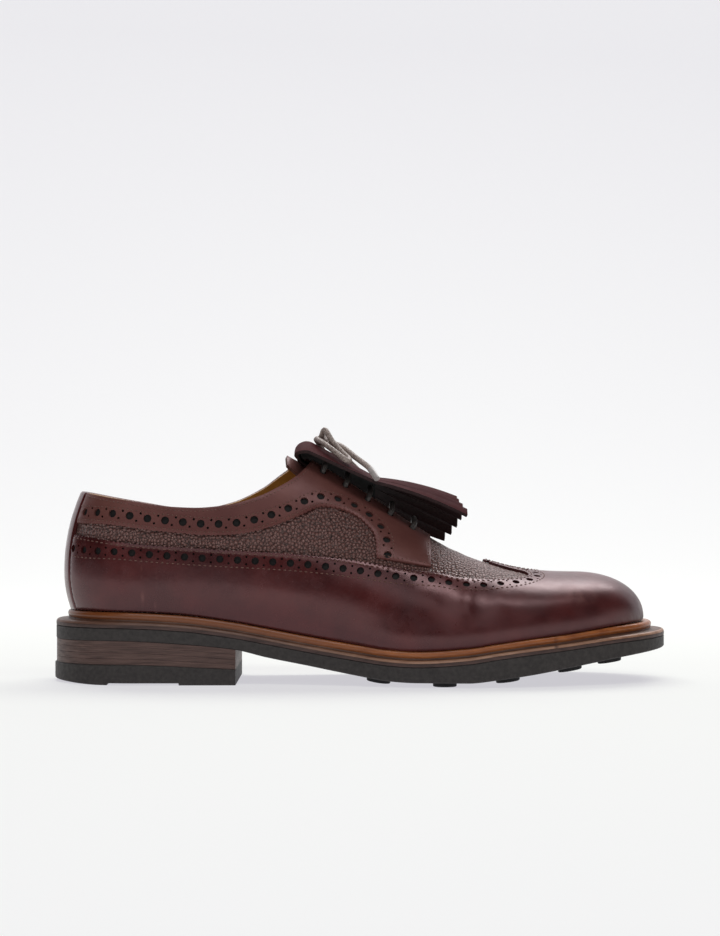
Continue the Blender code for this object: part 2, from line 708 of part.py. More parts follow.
def make_kiltie():
    """Leg under the lace, fold, flap over the lace and nine strips."""
    count = len(STRIPS)
    spread = [-1 + 2 * i / count for i in range(count + 1)]
    patch = []
    for x, half in LEG:
        patch.append([across_point(x, abs(c) * half, "lateral" if c < 0 else "medial", -LEG_DEEP)
                      for c in spread])
    for x, z, lateral_drop, medial_drop, half in FLAP:
        patch.append([np.array((x, c * half, z - (lateral_drop if c < 0 else medial_drop) * c * c))
                      for c in spread])
    patches = [(patch, True)]
    root = patch[-1]
    for i, (tip_x, left_z, right_z, bow) in enumerate(STRIPS):
        left, right = root[i], root[i + 1]
        strip = [[left, right]]
        for k in range(1, STRIP_ROWS + 1):
            t = k / STRIP_ROWS
            line = []
            for edge, tip_z, lean in ((left, left_z, SLIT / 2), (right, right_z, -SLIT / 2)):
                x = edge[0] + (tip_x - edge[0]) * t
                y = edge[1] * (1 + STRIP_SPREAD * t) + lean
                z = edge[2] + (tip_z - edge[2]) * t + bow * 4 * t * (1 - t)
                line.append(np.array((x, y, z)))
            strip.append(line)
        patches.append((strip, True))
    return shell("kiltie", patches, SMOOTH_LEATHER, KILTIE_THICK, 0.0)


def tube(name, points, look, diameter):
    """Round cord through points in millimetres."""
    data = bpy.data.curves.new(name, "CURVE")
    data.dimensions = "3D"
    data.bevel_depth = diameter / 2 * MM
    data.bevel_resolution = 2
    data.use_fill_caps = True
    spline = data.splines.new("POLY")
    spline.points.add(len(points) - 1)
    for point, place_at in zip(spline.points, points):
        point.co = (*[float(c) * MM for c in place_at], 1.0)
    data.materials.append(look)
    return place(bpy.data.objects.new(name, data))


def softened(points, steps):
    """Catmull-Rom points between the rows of a short table."""
    rows = [np.array(p, float) for p in points]
    rows = [2 * rows[0] - rows[1]] + rows + [2 * rows[-1] - rows[-2]]
    line = []
    for a, b, c, d in zip(rows, rows[1:], rows[2:], rows[3:]):
        for k in range(steps):
            t = k / steps
            line.append(0.5 * (2 * b + (c - a) * t + (2 * a - 5 * b + 4 * c - d) * t * t
                               + (3 * b - a - 3 * c + d) * t ** 3))
    return line + [rows[-2]]


def make_lace():
    """Bars over the facings as one cord, then knot, loops and ends."""
    route = []
    for k, x in enumerate(EYELETS_X):
        order = ("lateral", "medial") if k % 2 == 0 else ("medial", "lateral")
        bar = [across_point(x, EYELET_HALF, order[0], LACE_RIDE),
               across_point(x, EYELET_HALF * 0.5, order[0], LACE_RIDE),
               across_point(x, 0.0, "lateral", LACE_RIDE),
               across_point(x, EYELET_HALF * 0.5, order[1], LACE_RIDE),
               across_point(x, EYELET_HALF, order[1], LACE_RIDE)]
        route += bar
    tube("lace_bars", route, LACE_CORD, LACE)
    bpy.ops.mesh.primitive_uv_sphere_add(segments=10, ring_count=6, radius=MM,
                                         location=[c * MM for c in KNOT])
    knot = bpy.context.object
    knot.name = "lace_knot"
    for group in knot.users_collection:
        group.objects.unlink(knot)
    PARTS.objects.link(knot)
    knot.scale = KNOT_SIZE
    knot.data.materials.append(LACE_CORD)
    tube("lace_loop_lateral", softened(LOOP_LATERAL, 2), LACE_CORD, LACE)
    tube("lace_loop_medial", softened(LOOP_MEDIAL, 2), LACE_CORD, LACE)
    tube("lace_end_lateral", softened(END_LATERAL, 2), LACE_CORD, LACE)
    tube("lace_end_medial", softened(END_MEDIAL, 2), LACE_CORD, LACE)


make_upper()
make_wing()
for half in SIDES:
    make_facing(half)
make_back_strap()
make_outsole()
make_welt()
make_insole()
make_heel()
make_tongue()
make_kiltie()
make_lace()
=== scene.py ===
import math

import bmesh
import bpy
import numpy as np
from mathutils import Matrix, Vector
from mathutils.geometry import delaunay_2d_cdt
from mathutils.kdtree import KDTree


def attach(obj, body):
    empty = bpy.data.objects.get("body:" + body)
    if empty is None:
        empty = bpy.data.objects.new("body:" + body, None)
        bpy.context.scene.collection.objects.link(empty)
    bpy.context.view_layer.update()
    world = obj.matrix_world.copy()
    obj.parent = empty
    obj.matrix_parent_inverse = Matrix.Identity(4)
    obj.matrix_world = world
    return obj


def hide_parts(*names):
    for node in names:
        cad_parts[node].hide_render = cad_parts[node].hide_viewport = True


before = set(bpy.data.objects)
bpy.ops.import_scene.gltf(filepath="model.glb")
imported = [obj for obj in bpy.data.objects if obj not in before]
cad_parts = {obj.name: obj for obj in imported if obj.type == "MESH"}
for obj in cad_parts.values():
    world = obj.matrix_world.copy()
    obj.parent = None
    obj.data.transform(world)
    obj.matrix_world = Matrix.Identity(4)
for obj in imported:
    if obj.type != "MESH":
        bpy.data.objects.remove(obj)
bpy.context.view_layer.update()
mm = 0.001
print("frame loaded")

# last, millimetres: the same tables as in the part's source
last = {
    "heelX": -145.8, "toeX": 140.4, "heelRoundX": -110.0, "toeRoundX": 76.0,
    "heelPower": 2.1, "toePower": 2.15, "toeSwing": 4.0, "planShift": -0.33,
    "ridgeToeX": 108.0, "ridgeTipZ": 30.9,
    "bulgeZ": 54.0, "bendLow": 0.0100, "bendHigh": 0.0054, "bendFade": 75.0,
    "gap": 0.3, "ribTop": 4.4, "ribClear": 0.3, "throatX": 34.2,
    # x, lateral feather, medial feather, lateral wide, medial wide, rise of the widest point, fullness
    "girth": (
        (-145.8, 30.5, 30.5, 33.0, 33.0, 17.0, 2.50), (-112.0, 31.5, 31.0, 34.0, 33.5, 17.0, 2.50),
        (-80.0, 32.0, 30.5, 35.5, 34.0, 18.0, 2.35), (-45.0, 31.5, 27.0, 37.0, 33.0, 20.0, 2.10),
        (-10.0, 36.0, 27.0, 41.0, 33.5, 19.0, 1.95), (25.0, 45.0, 36.5, 48.0, 41.5, 15.0, 1.90),
        (55.0, 47.5, 44.5, 49.5, 47.0, 12.0, 2.00), (80.0, 45.5, 47.0, 47.2, 48.8, 11.0, 2.15),
        (110.0, 43.0, 46.0, 44.5, 47.5, 10.0, 2.30), (130.0, 43.0, 46.0, 44.3, 47.3, 6.5, 2.30),
        (140.4, 43.0, 46.0, 44.0, 47.0, 0.4, 2.30),
    ),
    # x, z
    "ridge": (
        (-145.8, 128.0), (-80.0, 127.0), (-45.0, 121.0), (-26.0, 112.0), (0.0, 94.6), (35.5, 70.5),
        (42.5, 66.6), (50.0, 63.2), (58.0, 59.9), (66.0, 57.4), (74.0, 55.2), (82.0, 53.6),
        (90.0, 52.6), (98.0, 52.1), (108.0, 51.9), (140.4, 51.9),
    ),
    # x, tread z, welt top z
    "sole": (
        (-152.0, 21.2, 30.9), (-117.0, 21.4, 30.7), (-90.0, 20.0, 29.5), (-61.0, 17.2, 25.9),
        (-45.0, 13.4, 22.9), (-25.0, 9.6, 19.2), (0.0, 5.0, 15.3), (14.0, 2.9, 13.5),
        (27.0, 2.3, 12.9), (52.0, 2.3, 14.5), (66.0, 3.7, 16.6), (82.0, 5.9, 18.7),
        (98.0, 8.6, 20.5), (127.0, 13.6, 23.9), (152.0, 16.9, 25.7),
    ),
    # x, welt edge outside the feather line
    "reach": (
        (-145.8, 9.0), (-125.0, 6.8), (-100.0, 5.2), (-60.0, 4.6), (-30.0, 4.8), (0.0, 6.0),
        (30.0, 6.6), (80.0, 6.8), (110.0, 8.0), (140.4, 11.6),
    ),
    # x, lateral z, medial z of the collar edge
    "topline": (
        (-145.8, 93.4, 93.4), (-134.0, 91.5, 90.9), (-112.0, 88.7, 87.4), (-95.0, 86.6, 85.2),
        (-80.0, 86.0, 84.8), (-66.0, 87.1, 87.6), (-50.0, 91.2, 94.8), (-40.0, 95.8, 102.0),
        (-32.0, 100.6, 107.4), (-26.0, 106.4, 110.2), (-22.0, 113.0, 115.0), (0.0, 150.0, 150.0),
    ),
    # x, half gap between the lace facings
    "throat": ((-60.0, 0.0), (-30.0, 10.5), (-20.0, 10.0), (0.0, 8.5), (35.0, 5.5)),
}
lateral, medial = -1.0, 1.0


def curveThrough(rows, column):
    # monotone cubic through one column of a table, level past its ends
    xs = np.array([row[0] for row in rows], float)
    ys = np.array([row[column] for row in rows], float)
    steps = np.diff(xs)
    rise = np.diff(ys) / steps
    tangents = np.zeros_like(xs)
    tangents[0], tangents[-1] = rise[0], rise[-1]
    for i in range(1, len(xs) - 1):
        if rise[i - 1] * rise[i] > 0:
            first, second = 2 * steps[i] + steps[i - 1], steps[i] + 2 * steps[i - 1]
            tangents[i] = (first + second) / (first / rise[i - 1] + second / rise[i])

    def at(x):
        x = np.clip(np.asarray(x, float), xs[0], xs[-1])
        i = np.clip(np.searchsorted(xs, x, side="right") - 1, 0, len(xs) - 2)
        t = (x - xs[i]) / steps[i]
        return ((2 * t ** 3 - 3 * t ** 2 + 1) * ys[i] + (t ** 3 - 2 * t ** 2 + t) * steps[i] * tangents[i]
                + (3 * t ** 2 - 2 * t ** 3) * ys[i + 1] + (t ** 3 - t ** 2) * steps[i] * tangents[i + 1])
    return at


girthAt = [curveThrough(last["girth"], i) for i in range(1, 7)]
ridgeTable = curveThrough(last["ridge"], 1)
treadAt = curveThrough(last["sole"], 1)
weltTopAt = curveThrough(last["sole"], 2)
reachAt = curveThrough(last["reach"], 1)
toplineAt = {lateral: curveThrough(last["topline"], 1), medial: curveThrough(last["topline"], 2)}
throatAt = curveThrough(last["throat"], 1)


def ease(low, high, x):
    t = np.clip((np.asarray(x, float) - low) / (high - low), 0.0, 1.0)
    return t * t * (3 - 2 * t)


def rounding(x):
    # 1 along the foot, falling to 0 at both ends of the last
    back = np.clip((last["heelRoundX"] - x) / (last["heelRoundX"] - last["heelX"]), 0, 1)
    front = np.clip((x - last["toeRoundX"]) / (last["toeX"] - last["toeRoundX"]), 0, 1)
    return ((1 - back ** last["heelPower"]) ** (1 / last["heelPower"])
            * (1 - front ** last["toePower"]) ** (1 / last["toePower"]))


def centreY(x):
    return last["planShift"] + last["toeSwing"] * ease(50.0, last["toeX"], x)


def ridgeZ(x):
    t = np.clip((x - last["ridgeToeX"]) / (last["toeX"] - last["ridgeToeX"]), 0, 1)
    fall = (1 - t ** last["toePower"]) ** (1 / last["toePower"])
    return np.where(t > 0, last["ridgeTipZ"] + (ridgeTable(last["ridgeToeX"]) - last["ridgeTipZ"]) * fall,
                    ridgeTable(x))


middleX, halfX = (last["heelX"] + last["toeX"]) / 2, (last["toeX"] - last["heelX"]) / 2


def stationX(s):
    return middleX - halfX * np.cos(np.pi * np.asarray(s, float))


def stationS(x):
    return np.arccos(np.clip((middleX - np.asarray(x, float)) / halfX, -1, 1)) / np.pi


def backShift(x, z):
    # forward lean of the heel wall above and below its bulge
    away = np.maximum(z, weltTopAt(x) + last["ribTop"] + last["ribClear"]) - last["bulgeZ"]
    bend = np.where(away > 0, last["bendHigh"], last["bendLow"])
    return bend * away * away * (1 - ease(last["heelX"], last["heelX"] + last["bendFade"], x))


# lasted wall as a grid: s runs from heel to toe,
# w from the lateral welt (-1) over the ridge (0) to the medial welt (1)
sCount, vCount = 480, 150
sGrid = np.linspace(0, 1, sCount + 1)
vGrid = np.linspace(0, 1, vCount + 1)


def halfWall(x, sign):
    shrink = rounding(x)
    feather = girthAt[0 if sign < 0 else 1](x) * shrink
    wide = girthAt[2 if sign < 0 else 3](x) * shrink
    featherZ = weltTopAt(x) + last["ribTop"] + last["ribClear"]
    topZ = float(ridgeZ(x))
    wideZ = min(featherZ + girthAt[4](x), featherZ + 0.75 * max(topZ - featherZ, 0.0))
    topZ = max(topZ, wideZ + 0.02)
    power = 2 / girthAt[5](x)
    t = np.linspace(0, 1, 25)
    turn = np.linspace(0, np.pi / 2, 161)[1:]
    y = np.concatenate(([feather], feather + (wide - feather) * np.sin(np.pi / 2 * t),
                        wide * np.maximum(np.cos(turn), 0) ** power))
    z = np.concatenate(([weltTopAt(x) + last["gap"]], featherZ + (wideZ - featherZ) * t,
                        wideZ + (topZ - wideZ) * np.sin(turn) ** power))
    y[-1] = 0.0
    run = np.concatenate(([0.0], np.cumsum(np.hypot(np.diff(y), np.diff(z)))))
    y, z = np.interp(vGrid * run[-1], run, y), np.interp(vGrid * run[-1], run, z)
    return np.column_stack((x + backShift(x, z), centreY(x) + sign * y, z)), run[-1], y


wall = np.zeros((sCount + 1, 2 * vCount + 1, 3))
girth = {lateral: np.zeros(sCount + 1), medial: np.zeros(sCount + 1)}
away = {lateral: np.zeros((sCount + 1, vCount + 1)), medial: np.zeros((sCount + 1, vCount + 1))}
for row, x in enumerate(stationX(sGrid)):
    for sign in (lateral, medial):
        line, girth[sign][row], away[sign][row] = halfWall(x, sign)
        if sign < 0:
            wall[row, :vCount + 1] = line
        else:
            wall[row, vCount:] = line[::-1]
heights = {lateral: wall[:, :vCount + 1, 2], medial: wall[:, :vCount - 1:-1, 2]}


def unit(v):
    return v / np.maximum(np.linalg.norm(v, axis=-1, keepdims=True), 1e-9)


# past the back seam and the toe tip the wall goes on as the other side
wallGrid = np.concatenate((wall[2:0:-1, ::-1], wall, wall[-2:-4:-1, ::-1]))
first, final = wallGrid[:, :1], wallGrid[:, -1:]
stepIn, stepOut = wallGrid[:, 1:2] - first, final - wallGrid[:, -2:-1]
wallGrid = np.concatenate((first - 2 * stepIn, first - stepIn, wallGrid,
                           final + stepOut, final + 2 * stepOut), 1)
normalGrid = np.cross(np.gradient(wallGrid, axis=0), np.gradient(wallGrid, axis=1))
normalGrid[np.linalg.norm(normalGrid, axis=-1) < 1e-9] = (1.0, 0.0, 0.25)
normalGrid = unit(normalGrid)


def cubicWeights(t):
    return (-0.5 * t + t ** 2 - 0.5 * t ** 3, 1 - 2.5 * t ** 2 + 1.5 * t ** 3,
            0.5 * t + 2 * t ** 2 - 1.5 * t ** 3, -0.5 * t ** 2 + 0.5 * t ** 3)


def sample(grid, s, w):
    a = np.clip(s, 0, 1) * sCount + 2
    b = (np.clip(w, -1, 1) + 1) * vCount + 2
    i, j = np.floor(a).astype(int), np.floor(b).astype(int)
    alongWeights, acrossWeights = cubicWeights(a - i), cubicWeights(b - j)
    total = np.zeros((len(a), 3))
    for p in range(4):
        for q in range(4):
            total += (alongWeights[p] * acrossWeights[q])[:, None] * grid[i + p - 1, j + q - 1]
    return total


# soft forms of the worn leather: x, z, length, height of the form and its rise
creases = {
    "lateral": ((31.0, 42.0, 7.0, 9.0, 0.45), (42.0, 42.0, 4.0, 9.0, -0.45), (51.5, 40.5, 3.0, 7.0, 1.15),
                (59.5, 41.0, 3.6, 9.0, -0.45), (67.5, 42.0, 3.8, 7.0, 0.45), (-100.0, 43.0, 16.0, 7.0, 0.15),
                (-20.0, 36.0, 22.0, 7.0, -0.22)),
    "medial": ((44.0, 42.0, 4.0, 10.0, -0.30), (53.0, 40.0, 4.0, 10.0, 0.34), (63.0, 40.0, 3.6, 9.0, -0.24)),
    "vamp": ((45.0, 62.0, 2.6, 12.0, -0.25), (53.0, 60.0, 2.2, 12.0, -0.22)),
    # height, wave length along and up, shift
    "waves": ((0.07, 9.0, 14.0, 0.0), (0.07, 17.0, -8.0, 1.3)),
    # fuller wall just over the welt at the ball: height over the welt, spread, rise, from and to x
    "low": (9.0, 7.0, 2.2, -25.0, 25.0, 100.0, 136.0),
}


def relief(point):
    x, y, z = point.T
    high, spread, rise, first, full, fade, end = creases["low"]
    reachX = ease(first, full, x) * (1 - ease(fade, end, x))
    total = rise * reachX * np.exp(-((z - weltTopAt(x) - high) / spread) ** 2)
    for height, along, up, shift in creases["waves"]:
        total += height * np.sin(x / along + z / up + shift)
    for name, where in (("lateral", y < 0), ("medial", y > 0), ("vamp", True)):
        for cx, cz, length, height, rise in creases[name]:
            total += where * rise * np.exp(-((x - cx) / length) ** 2 - ((z - cz) / height) ** 2)
    return total


def skin(s, w, out):
    # point of the lasted wall moved out along its normal
    s, w = np.asarray(s, float), np.asarray(w, float)
    point = sample(wallGrid, s, w)
    return point + unit(sample(normalGrid, s, w)) * (np.asarray(out, float) + relief(point))[..., None]


def slopes(s, w):
    ds, dw = 0.002, 0.004
    s0, s1 = np.maximum(s - ds, 0), np.minimum(s + ds, 1)
    w0, w1 = np.maximum(w - dw, -1), np.minimum(w + dw, 1)
    return ((sample(wallGrid, s1, w) - sample(wallGrid, s0, w)) / (s1 - s0)[:, None],
            (sample(wallGrid, s, w1) - sample(wallGrid, s, w0)) / (w1 - w0)[:, None])


def stepOnSkin(s, w, move):
    # new (s, w) after a move along the surface, millimetres
    for _ in range(3):
        along, across = slopes(s, w)
        a, b, c = (along ** 2).sum(1), (along * across).sum(1), (across ** 2).sum(1)
        p, q = (along * move).sum(1) / 3, (across * move).sum(1) / 3
        base = np.maximum(a * c - b * b, 1e-6)
        s, w = np.clip(s + (p * c - q * b) / base, 0, 1), np.clip(w + (q * a - p * b) / base, -1, 1)
    return s, w


def wOf(table, target, s, sign, start=0):
    # w at which a falling or rising column of one side meets a value
    s, target = np.broadcast_arrays(np.asarray(s, float), np.asarray(target, float))
    found = []
    for one, goal in zip(s.ravel(), target.ravel()):
        a = min(max(one, 0.0), 1.0) * sCount
        i = min(int(a), sCount - 1)
        column = table[sign][i] * (1 - a + i) + table[sign][i + 1] * (a - i)
        found.append(np.interp(goal, column[start:], vGrid[start:]))
    return sign * (1 - np.array(found))


fallingAway = {sign: -away[sign] for sign in away}


def wAtHeight(s, z, sign):
    return wOf(heights, z, s, sign)


def wAtGap(s, half, sign):
    return wOf(fallingAway, -np.asarray(half, float), s, sign, vCount // 3)


def wTop(s, sign):
    # upper edge of the wall: collar, then lace facing
    x = stationX(s)
    collar, throat = wAtHeight(s, toplineAt[sign](x), sign), wAtGap(s, throatAt(x), sign)
    return sign * np.maximum(np.abs(collar), np.abs(throat))


def wFoot(s, sign, rise):
    # just over the storm rib
    return wAtHeight(s, weltTopAt(stationX(s)) + last["ribTop"] + rise, sign)


def resample(points, step):
    run = np.concatenate(([0.0], np.cumsum(np.linalg.norm(np.diff(points, axis=0), axis=1))))
    at = np.linspace(0, run[-1], max(int(round(run[-1] / step)), 2) + 1)
    return np.column_stack([np.interp(at, run, points[:, k]) for k in range(points.shape[1])])


def throughRows(rows, steps):
    # Catmull-Rom through the rows of a table or grid
    rows = np.concatenate((2 * rows[:1] - rows[1:2], rows, 2 * rows[-1:] - rows[-2:-1]))
    line = []
    for four in zip(rows, rows[1:], rows[2:], rows[3:]):
        for t in np.linspace(0, 1, steps, endpoint=False):
            line.append(sum(weight * row for weight, row in zip(cubicWeights(t), four)))
    return np.array(line + [rows[-2]])


def smoothLine(rows, step):
    # smooth line through a short table, evenly spaced
    return resample(throughRows(np.array(rows, float), 24), step)


def evenOnSkin(line, step):
    # the same line with even steps measured on the skin
    points = skin(line[:, 0], line[:, 1], 0.0)
    return resample(np.column_stack((points, line)), step)[:, 3:]


def sidesOf(line):
    # tangent, normal and upward side of a line on the skin
    points = skin(line[:, 0], line[:, 1], 0.0)
    tangent = unit(np.gradient(points, axis=0))
    normal = unit(sample(normalGrid, line[:, 0], line[:, 1]))
    return tangent, normal, unit(np.cross(normal, tangent))


def shiftLine(line, distance):
    # parallel line on the skin, at a distance to its upper side
    tangent, normal, side = sidesOf(line)
    s, w = stepOnSkin(line[:, 0], line[:, 1], side * np.asarray(distance, float).reshape(-1, 1))
    return np.column_stack((s, w))


def gimped(line, pitch, depth):
    # small pinked teeth along an edge
    line = evenOnSkin(line, pitch / 6)
    tooth = np.abs((np.arange(len(line)) / 6) % 1 - 0.5) * 2
    return shiftLine(line, depth * (tooth - 0.5))


print("lasted wall ready")


# objects and materials
def meshObject(name, points, faces, looks, faceLooks=None, angle=35.0):
    data = bpy.data.meshes.new(name)
    data.from_pydata((np.asarray(points) * mm).tolist(), [], [[int(i) for i in face] for face in faces])
    for look in looks:
        data.materials.append(look)
    if faceLooks is not None:
        data.polygons.foreach_set("material_index", np.asarray(faceLooks, np.int32))
    data.validate()
    data.shade_smooth()
    data.set_sharp_from_angle(angle=math.radians(angle))
    thing = bpy.data.objects.new(name, data)
    bpy.context.scene.collection.objects.link(thing)
    return thing


def dress(thing, slot, *nodes):
    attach(thing, "root")
    if nodes:
        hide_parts(*nodes)
    return thing


def newLook(name):
    look = bpy.data.materials.new(name)
    look.use_nodes = True
    return look, look.node_tree, look.node_tree.nodes["Principled BSDF"]


def setSockets(tree, sockets, values):
    # a plain value is set on its socket, an output is linked to it
    for socket, value in zip(sockets, values):
        if isinstance(value, bpy.types.NodeSocket):
            tree.links.new(value, socket)
        else:
            socket.default_value = value


def setInputs(tree, node, **inputs):
    # inputs by their names, with _ for a space
    setSockets(tree, [node.inputs[key.replace("_", " ")] for key in inputs], inputs.values())
    return node


def addNode(tree, kind, settings=None, **inputs):
    node = tree.nodes.new(kind)
    for key, value in (settings or {}).items():
        setattr(node, key, value)
    return setInputs(tree, node, **inputs)


def combine(tree, operation, *values):
    node = addNode(tree, "ShaderNodeMath", {"operation": operation})
    setSockets(tree, node.inputs, values)
    return node.outputs[0]


def place(tree, scale=(1, 1, 1), location=(0, 0, 0)):
    # the piece's own place in metres, stretched and moved
    coordinates = tree.nodes.new("ShaderNodeTexCoord")
    return addNode(tree, "ShaderNodeMapping", Vector=coordinates.outputs["Object"], Scale=scale,
                   Location=location).outputs[0]


def placeOn(tree, axis):
    return addNode(tree, "ShaderNodeSeparateXYZ", Vector=place(tree)).outputs[axis]


def noise(tree, scale, detail, roughness=0.55, stretch=(1, 1, 1)):
    return addNode(tree, "ShaderNodeTexNoise", Vector=place(tree, stretch), Scale=scale, Detail=detail,
                   Roughness=roughness).outputs["Fac"]


def cells(tree, scale):
    return addNode(tree, "ShaderNodeTexVoronoi", Vector=place(tree), Scale=scale).outputs["Distance"]


def between(tree, amount, low, high, toLow=0.0, toHigh=1.0):
    return addNode(tree, "ShaderNodeMapRange", Value=amount, From_Min=low, From_Max=high, To_Min=toLow,
                   To_Max=toHigh).outputs[0]


def mixColour(tree, amount, a, b):
    node = addNode(tree, "ShaderNodeMix", {"data_type": "RGBA"})
    setSockets(tree, (node.inputs["Factor"], node.inputs[6], node.inputs[7]), (amount, a, b))
    return node.outputs[2]


def bump(tree, height, strength, distance, **under):
    return addNode(tree, "ShaderNodeBump", Height=height, Strength=strength, Distance=distance,
                   **under).outputs["Normal"]


def rgba(red, green, blue):
    # sRGB, 0 to 255
    values = [c / 255 for c in (red, green, blue)]
    return tuple(c / 12.92 if c <= 0.04045 else ((c + 0.055) / 1.055) ** 2.4 for c in values) + (1.0,)


def spot(tree, centre, radii):
    # soft mark about a point, both in millimetres
    moved = place(tree, [1 / (r * mm) for r in radii], [-c / r for c, r in zip(centre, radii)])
    far = addNode(tree, "ShaderNodeVectorMath", {"operation": "LENGTH"}, Vector=moved).outputs["Value"]
    return between(tree, far, 0.3, 1.0, 1.0, 0.0)


# scuffs on the lateral side: centre and size
scuffs = {
    "colour": (128, 84, 78),
    "places": (((-105.7, -36.0, 41.5), (1.2, 12.0, 5.0)), ((-99.4, -36.0, 39.0), (1.0, 12.0, 5.0)),
               ((-106.2, -35.0, 55.0), (0.8, 12.0, 4.0)), ((-98.9, -35.0, 51.0), (0.9, 12.0, 5.0)),
               ((106.0, -38.0, 44.0), (13.0, 12.0, 6.0))),
}
# dark join of the welt on the lateral side: centre and size
weltJoin = ((94.5, -52.0, 22.0), (1.6, 12.0, 9.0))


def smoothLeather(name, dark, light, roughness, pore, gloss, worn=False):
    look, tree, shader = newLook(name)
    clouds = between(tree, noise(tree, 38.0, 5.0), 0.36, 0.66)
    streaks = between(tree, noise(tree, 90.0, 6.0, 0.6, (0.35, 1, 1)), 0.4, 0.75)
    colour = mixColour(tree, clouds, rgba(*dark), rgba(*light))
    colour = mixColour(tree, between(tree, streaks, 0, 1, 0.0, 0.35), colour, rgba(*dark))
    dull = between(tree, noise(tree, 160.0, 5.0), 0.3, 0.7, roughness - 0.05, roughness + 0.07)
    if worn:
        # scuffs, and a duller toe
        for centre, radii in scuffs["places"]:
            patchy = between(tree, noise(tree, 180.0, 5.0), 0.35, 0.65, 0.0, 0.45)
            mark = combine(tree, "MULTIPLY", spot(tree, centre, radii), patchy)
            colour = mixColour(tree, mark, colour, rgba(*scuffs["colour"]))
        dull = combine(tree, "ADD", dull, between(tree, placeOn(tree, "X"), 0.0, 0.07, 0.0, 0.13))
    pores = bump(tree, cells(tree, 1500.0), pore, 0.0001)
    setInputs(tree, shader, Base_Color=colour, Roughness=dull, Specular_IOR_Level=gloss,
              Specular_Tint=(1.0, 0.66, 0.68, 1.0),
              Normal=bump(tree, noise(tree, 260.0, 4.0), 0.05, 0.0006, Normal=pores))
    return look


def pebbledLeather(name, dark, light):
    look, tree, shader = newLook(name)
    warp = addNode(tree, "ShaderNodeTexNoise", Vector=place(tree), Scale=300.0, Detail=2.0).outputs["Color"]
    shift = addNode(tree, "ShaderNodeVectorMath", {"operation": "SCALE"}, Vector=warp, Scale=0.0007)
    moved = addNode(tree, "ShaderNodeVectorMath", {"operation": "ADD"})
    setSockets(tree, moved.inputs, (place(tree), shift.outputs[0]))
    grain = {"Vector": moved.outputs[0], "Scale": 600.0, "Randomness": 0.8}
    toMiddle = addNode(tree, "ShaderNodeTexVoronoi", **grain).outputs["Distance"]
    toEdge = addNode(tree, "ShaderNodeTexVoronoi", {"feature": "DISTANCE_TO_EDGE"},
                     **grain).outputs["Distance"]
    domes = between(tree, combine(tree, "MULTIPLY", toMiddle, toMiddle), 0.0, 0.6, 1.0, 0.0)
    fine = bump(tree, noise(tree, 2600.0, 3.0), 0.06, 0.0002)
    # painted shade: the dark colour fills the creases between the pebbles
    setInputs(tree, shader, Specular_IOR_Level=0.9, Specular_Tint=(1.0, 0.8, 0.76, 1.0),
              Base_Color=mixColour(tree, between(tree, toEdge, 0.0, 0.13), rgba(*dark), rgba(*light)),
              Roughness=between(tree, toEdge, 0.0, 0.2, 0.6, 0.3),
              Normal=bump(tree, domes, 1.0, 0.0011, Normal=fine))
    return look


def plainLook(name, dark, light, roughness, scale, stretch=(1, 1, 1), bumpStrength=0.2, coat=0.0,
              shadeAndJoin=None):
    look, tree, shader = newLook(name)
    grain = noise(tree, scale, 6.0, 0.6, stretch)
    colour = mixColour(tree, between(tree, grain, 0.3, 0.7), rgba(*dark), rgba(*light))
    if shadeAndJoin:
        # painted shade: darker towards the heel, where the upper shades the welt; also darker at the welt's
        # join
        for share in (between(tree, placeOn(tree, "X"), 0.03, -0.05, 0.0, 0.8), spot(tree, *weltJoin)):
            colour = mixColour(tree, share, colour, rgba(*shadeAndJoin))
    setInputs(tree, shader, Base_Color=colour, Coat_Weight=coat,
              Roughness=between(tree, grain, 0.3, 0.7, roughness + 0.06, roughness - 0.06),
              Normal=bump(tree, grain, bumpStrength, 0.0004))
    return look


def cordLook(name, dark, light):
    look, tree, shader = newLook(name)
    weave = cells(tree, 1300.0)
    setInputs(tree, shader, Roughness=0.5, Normal=bump(tree, weave, 0.5, 0.0003),
              Base_Color=mixColour(tree, between(tree, weave, 0.1, 0.7), rgba(*light), rgba(*dark)))
    return look


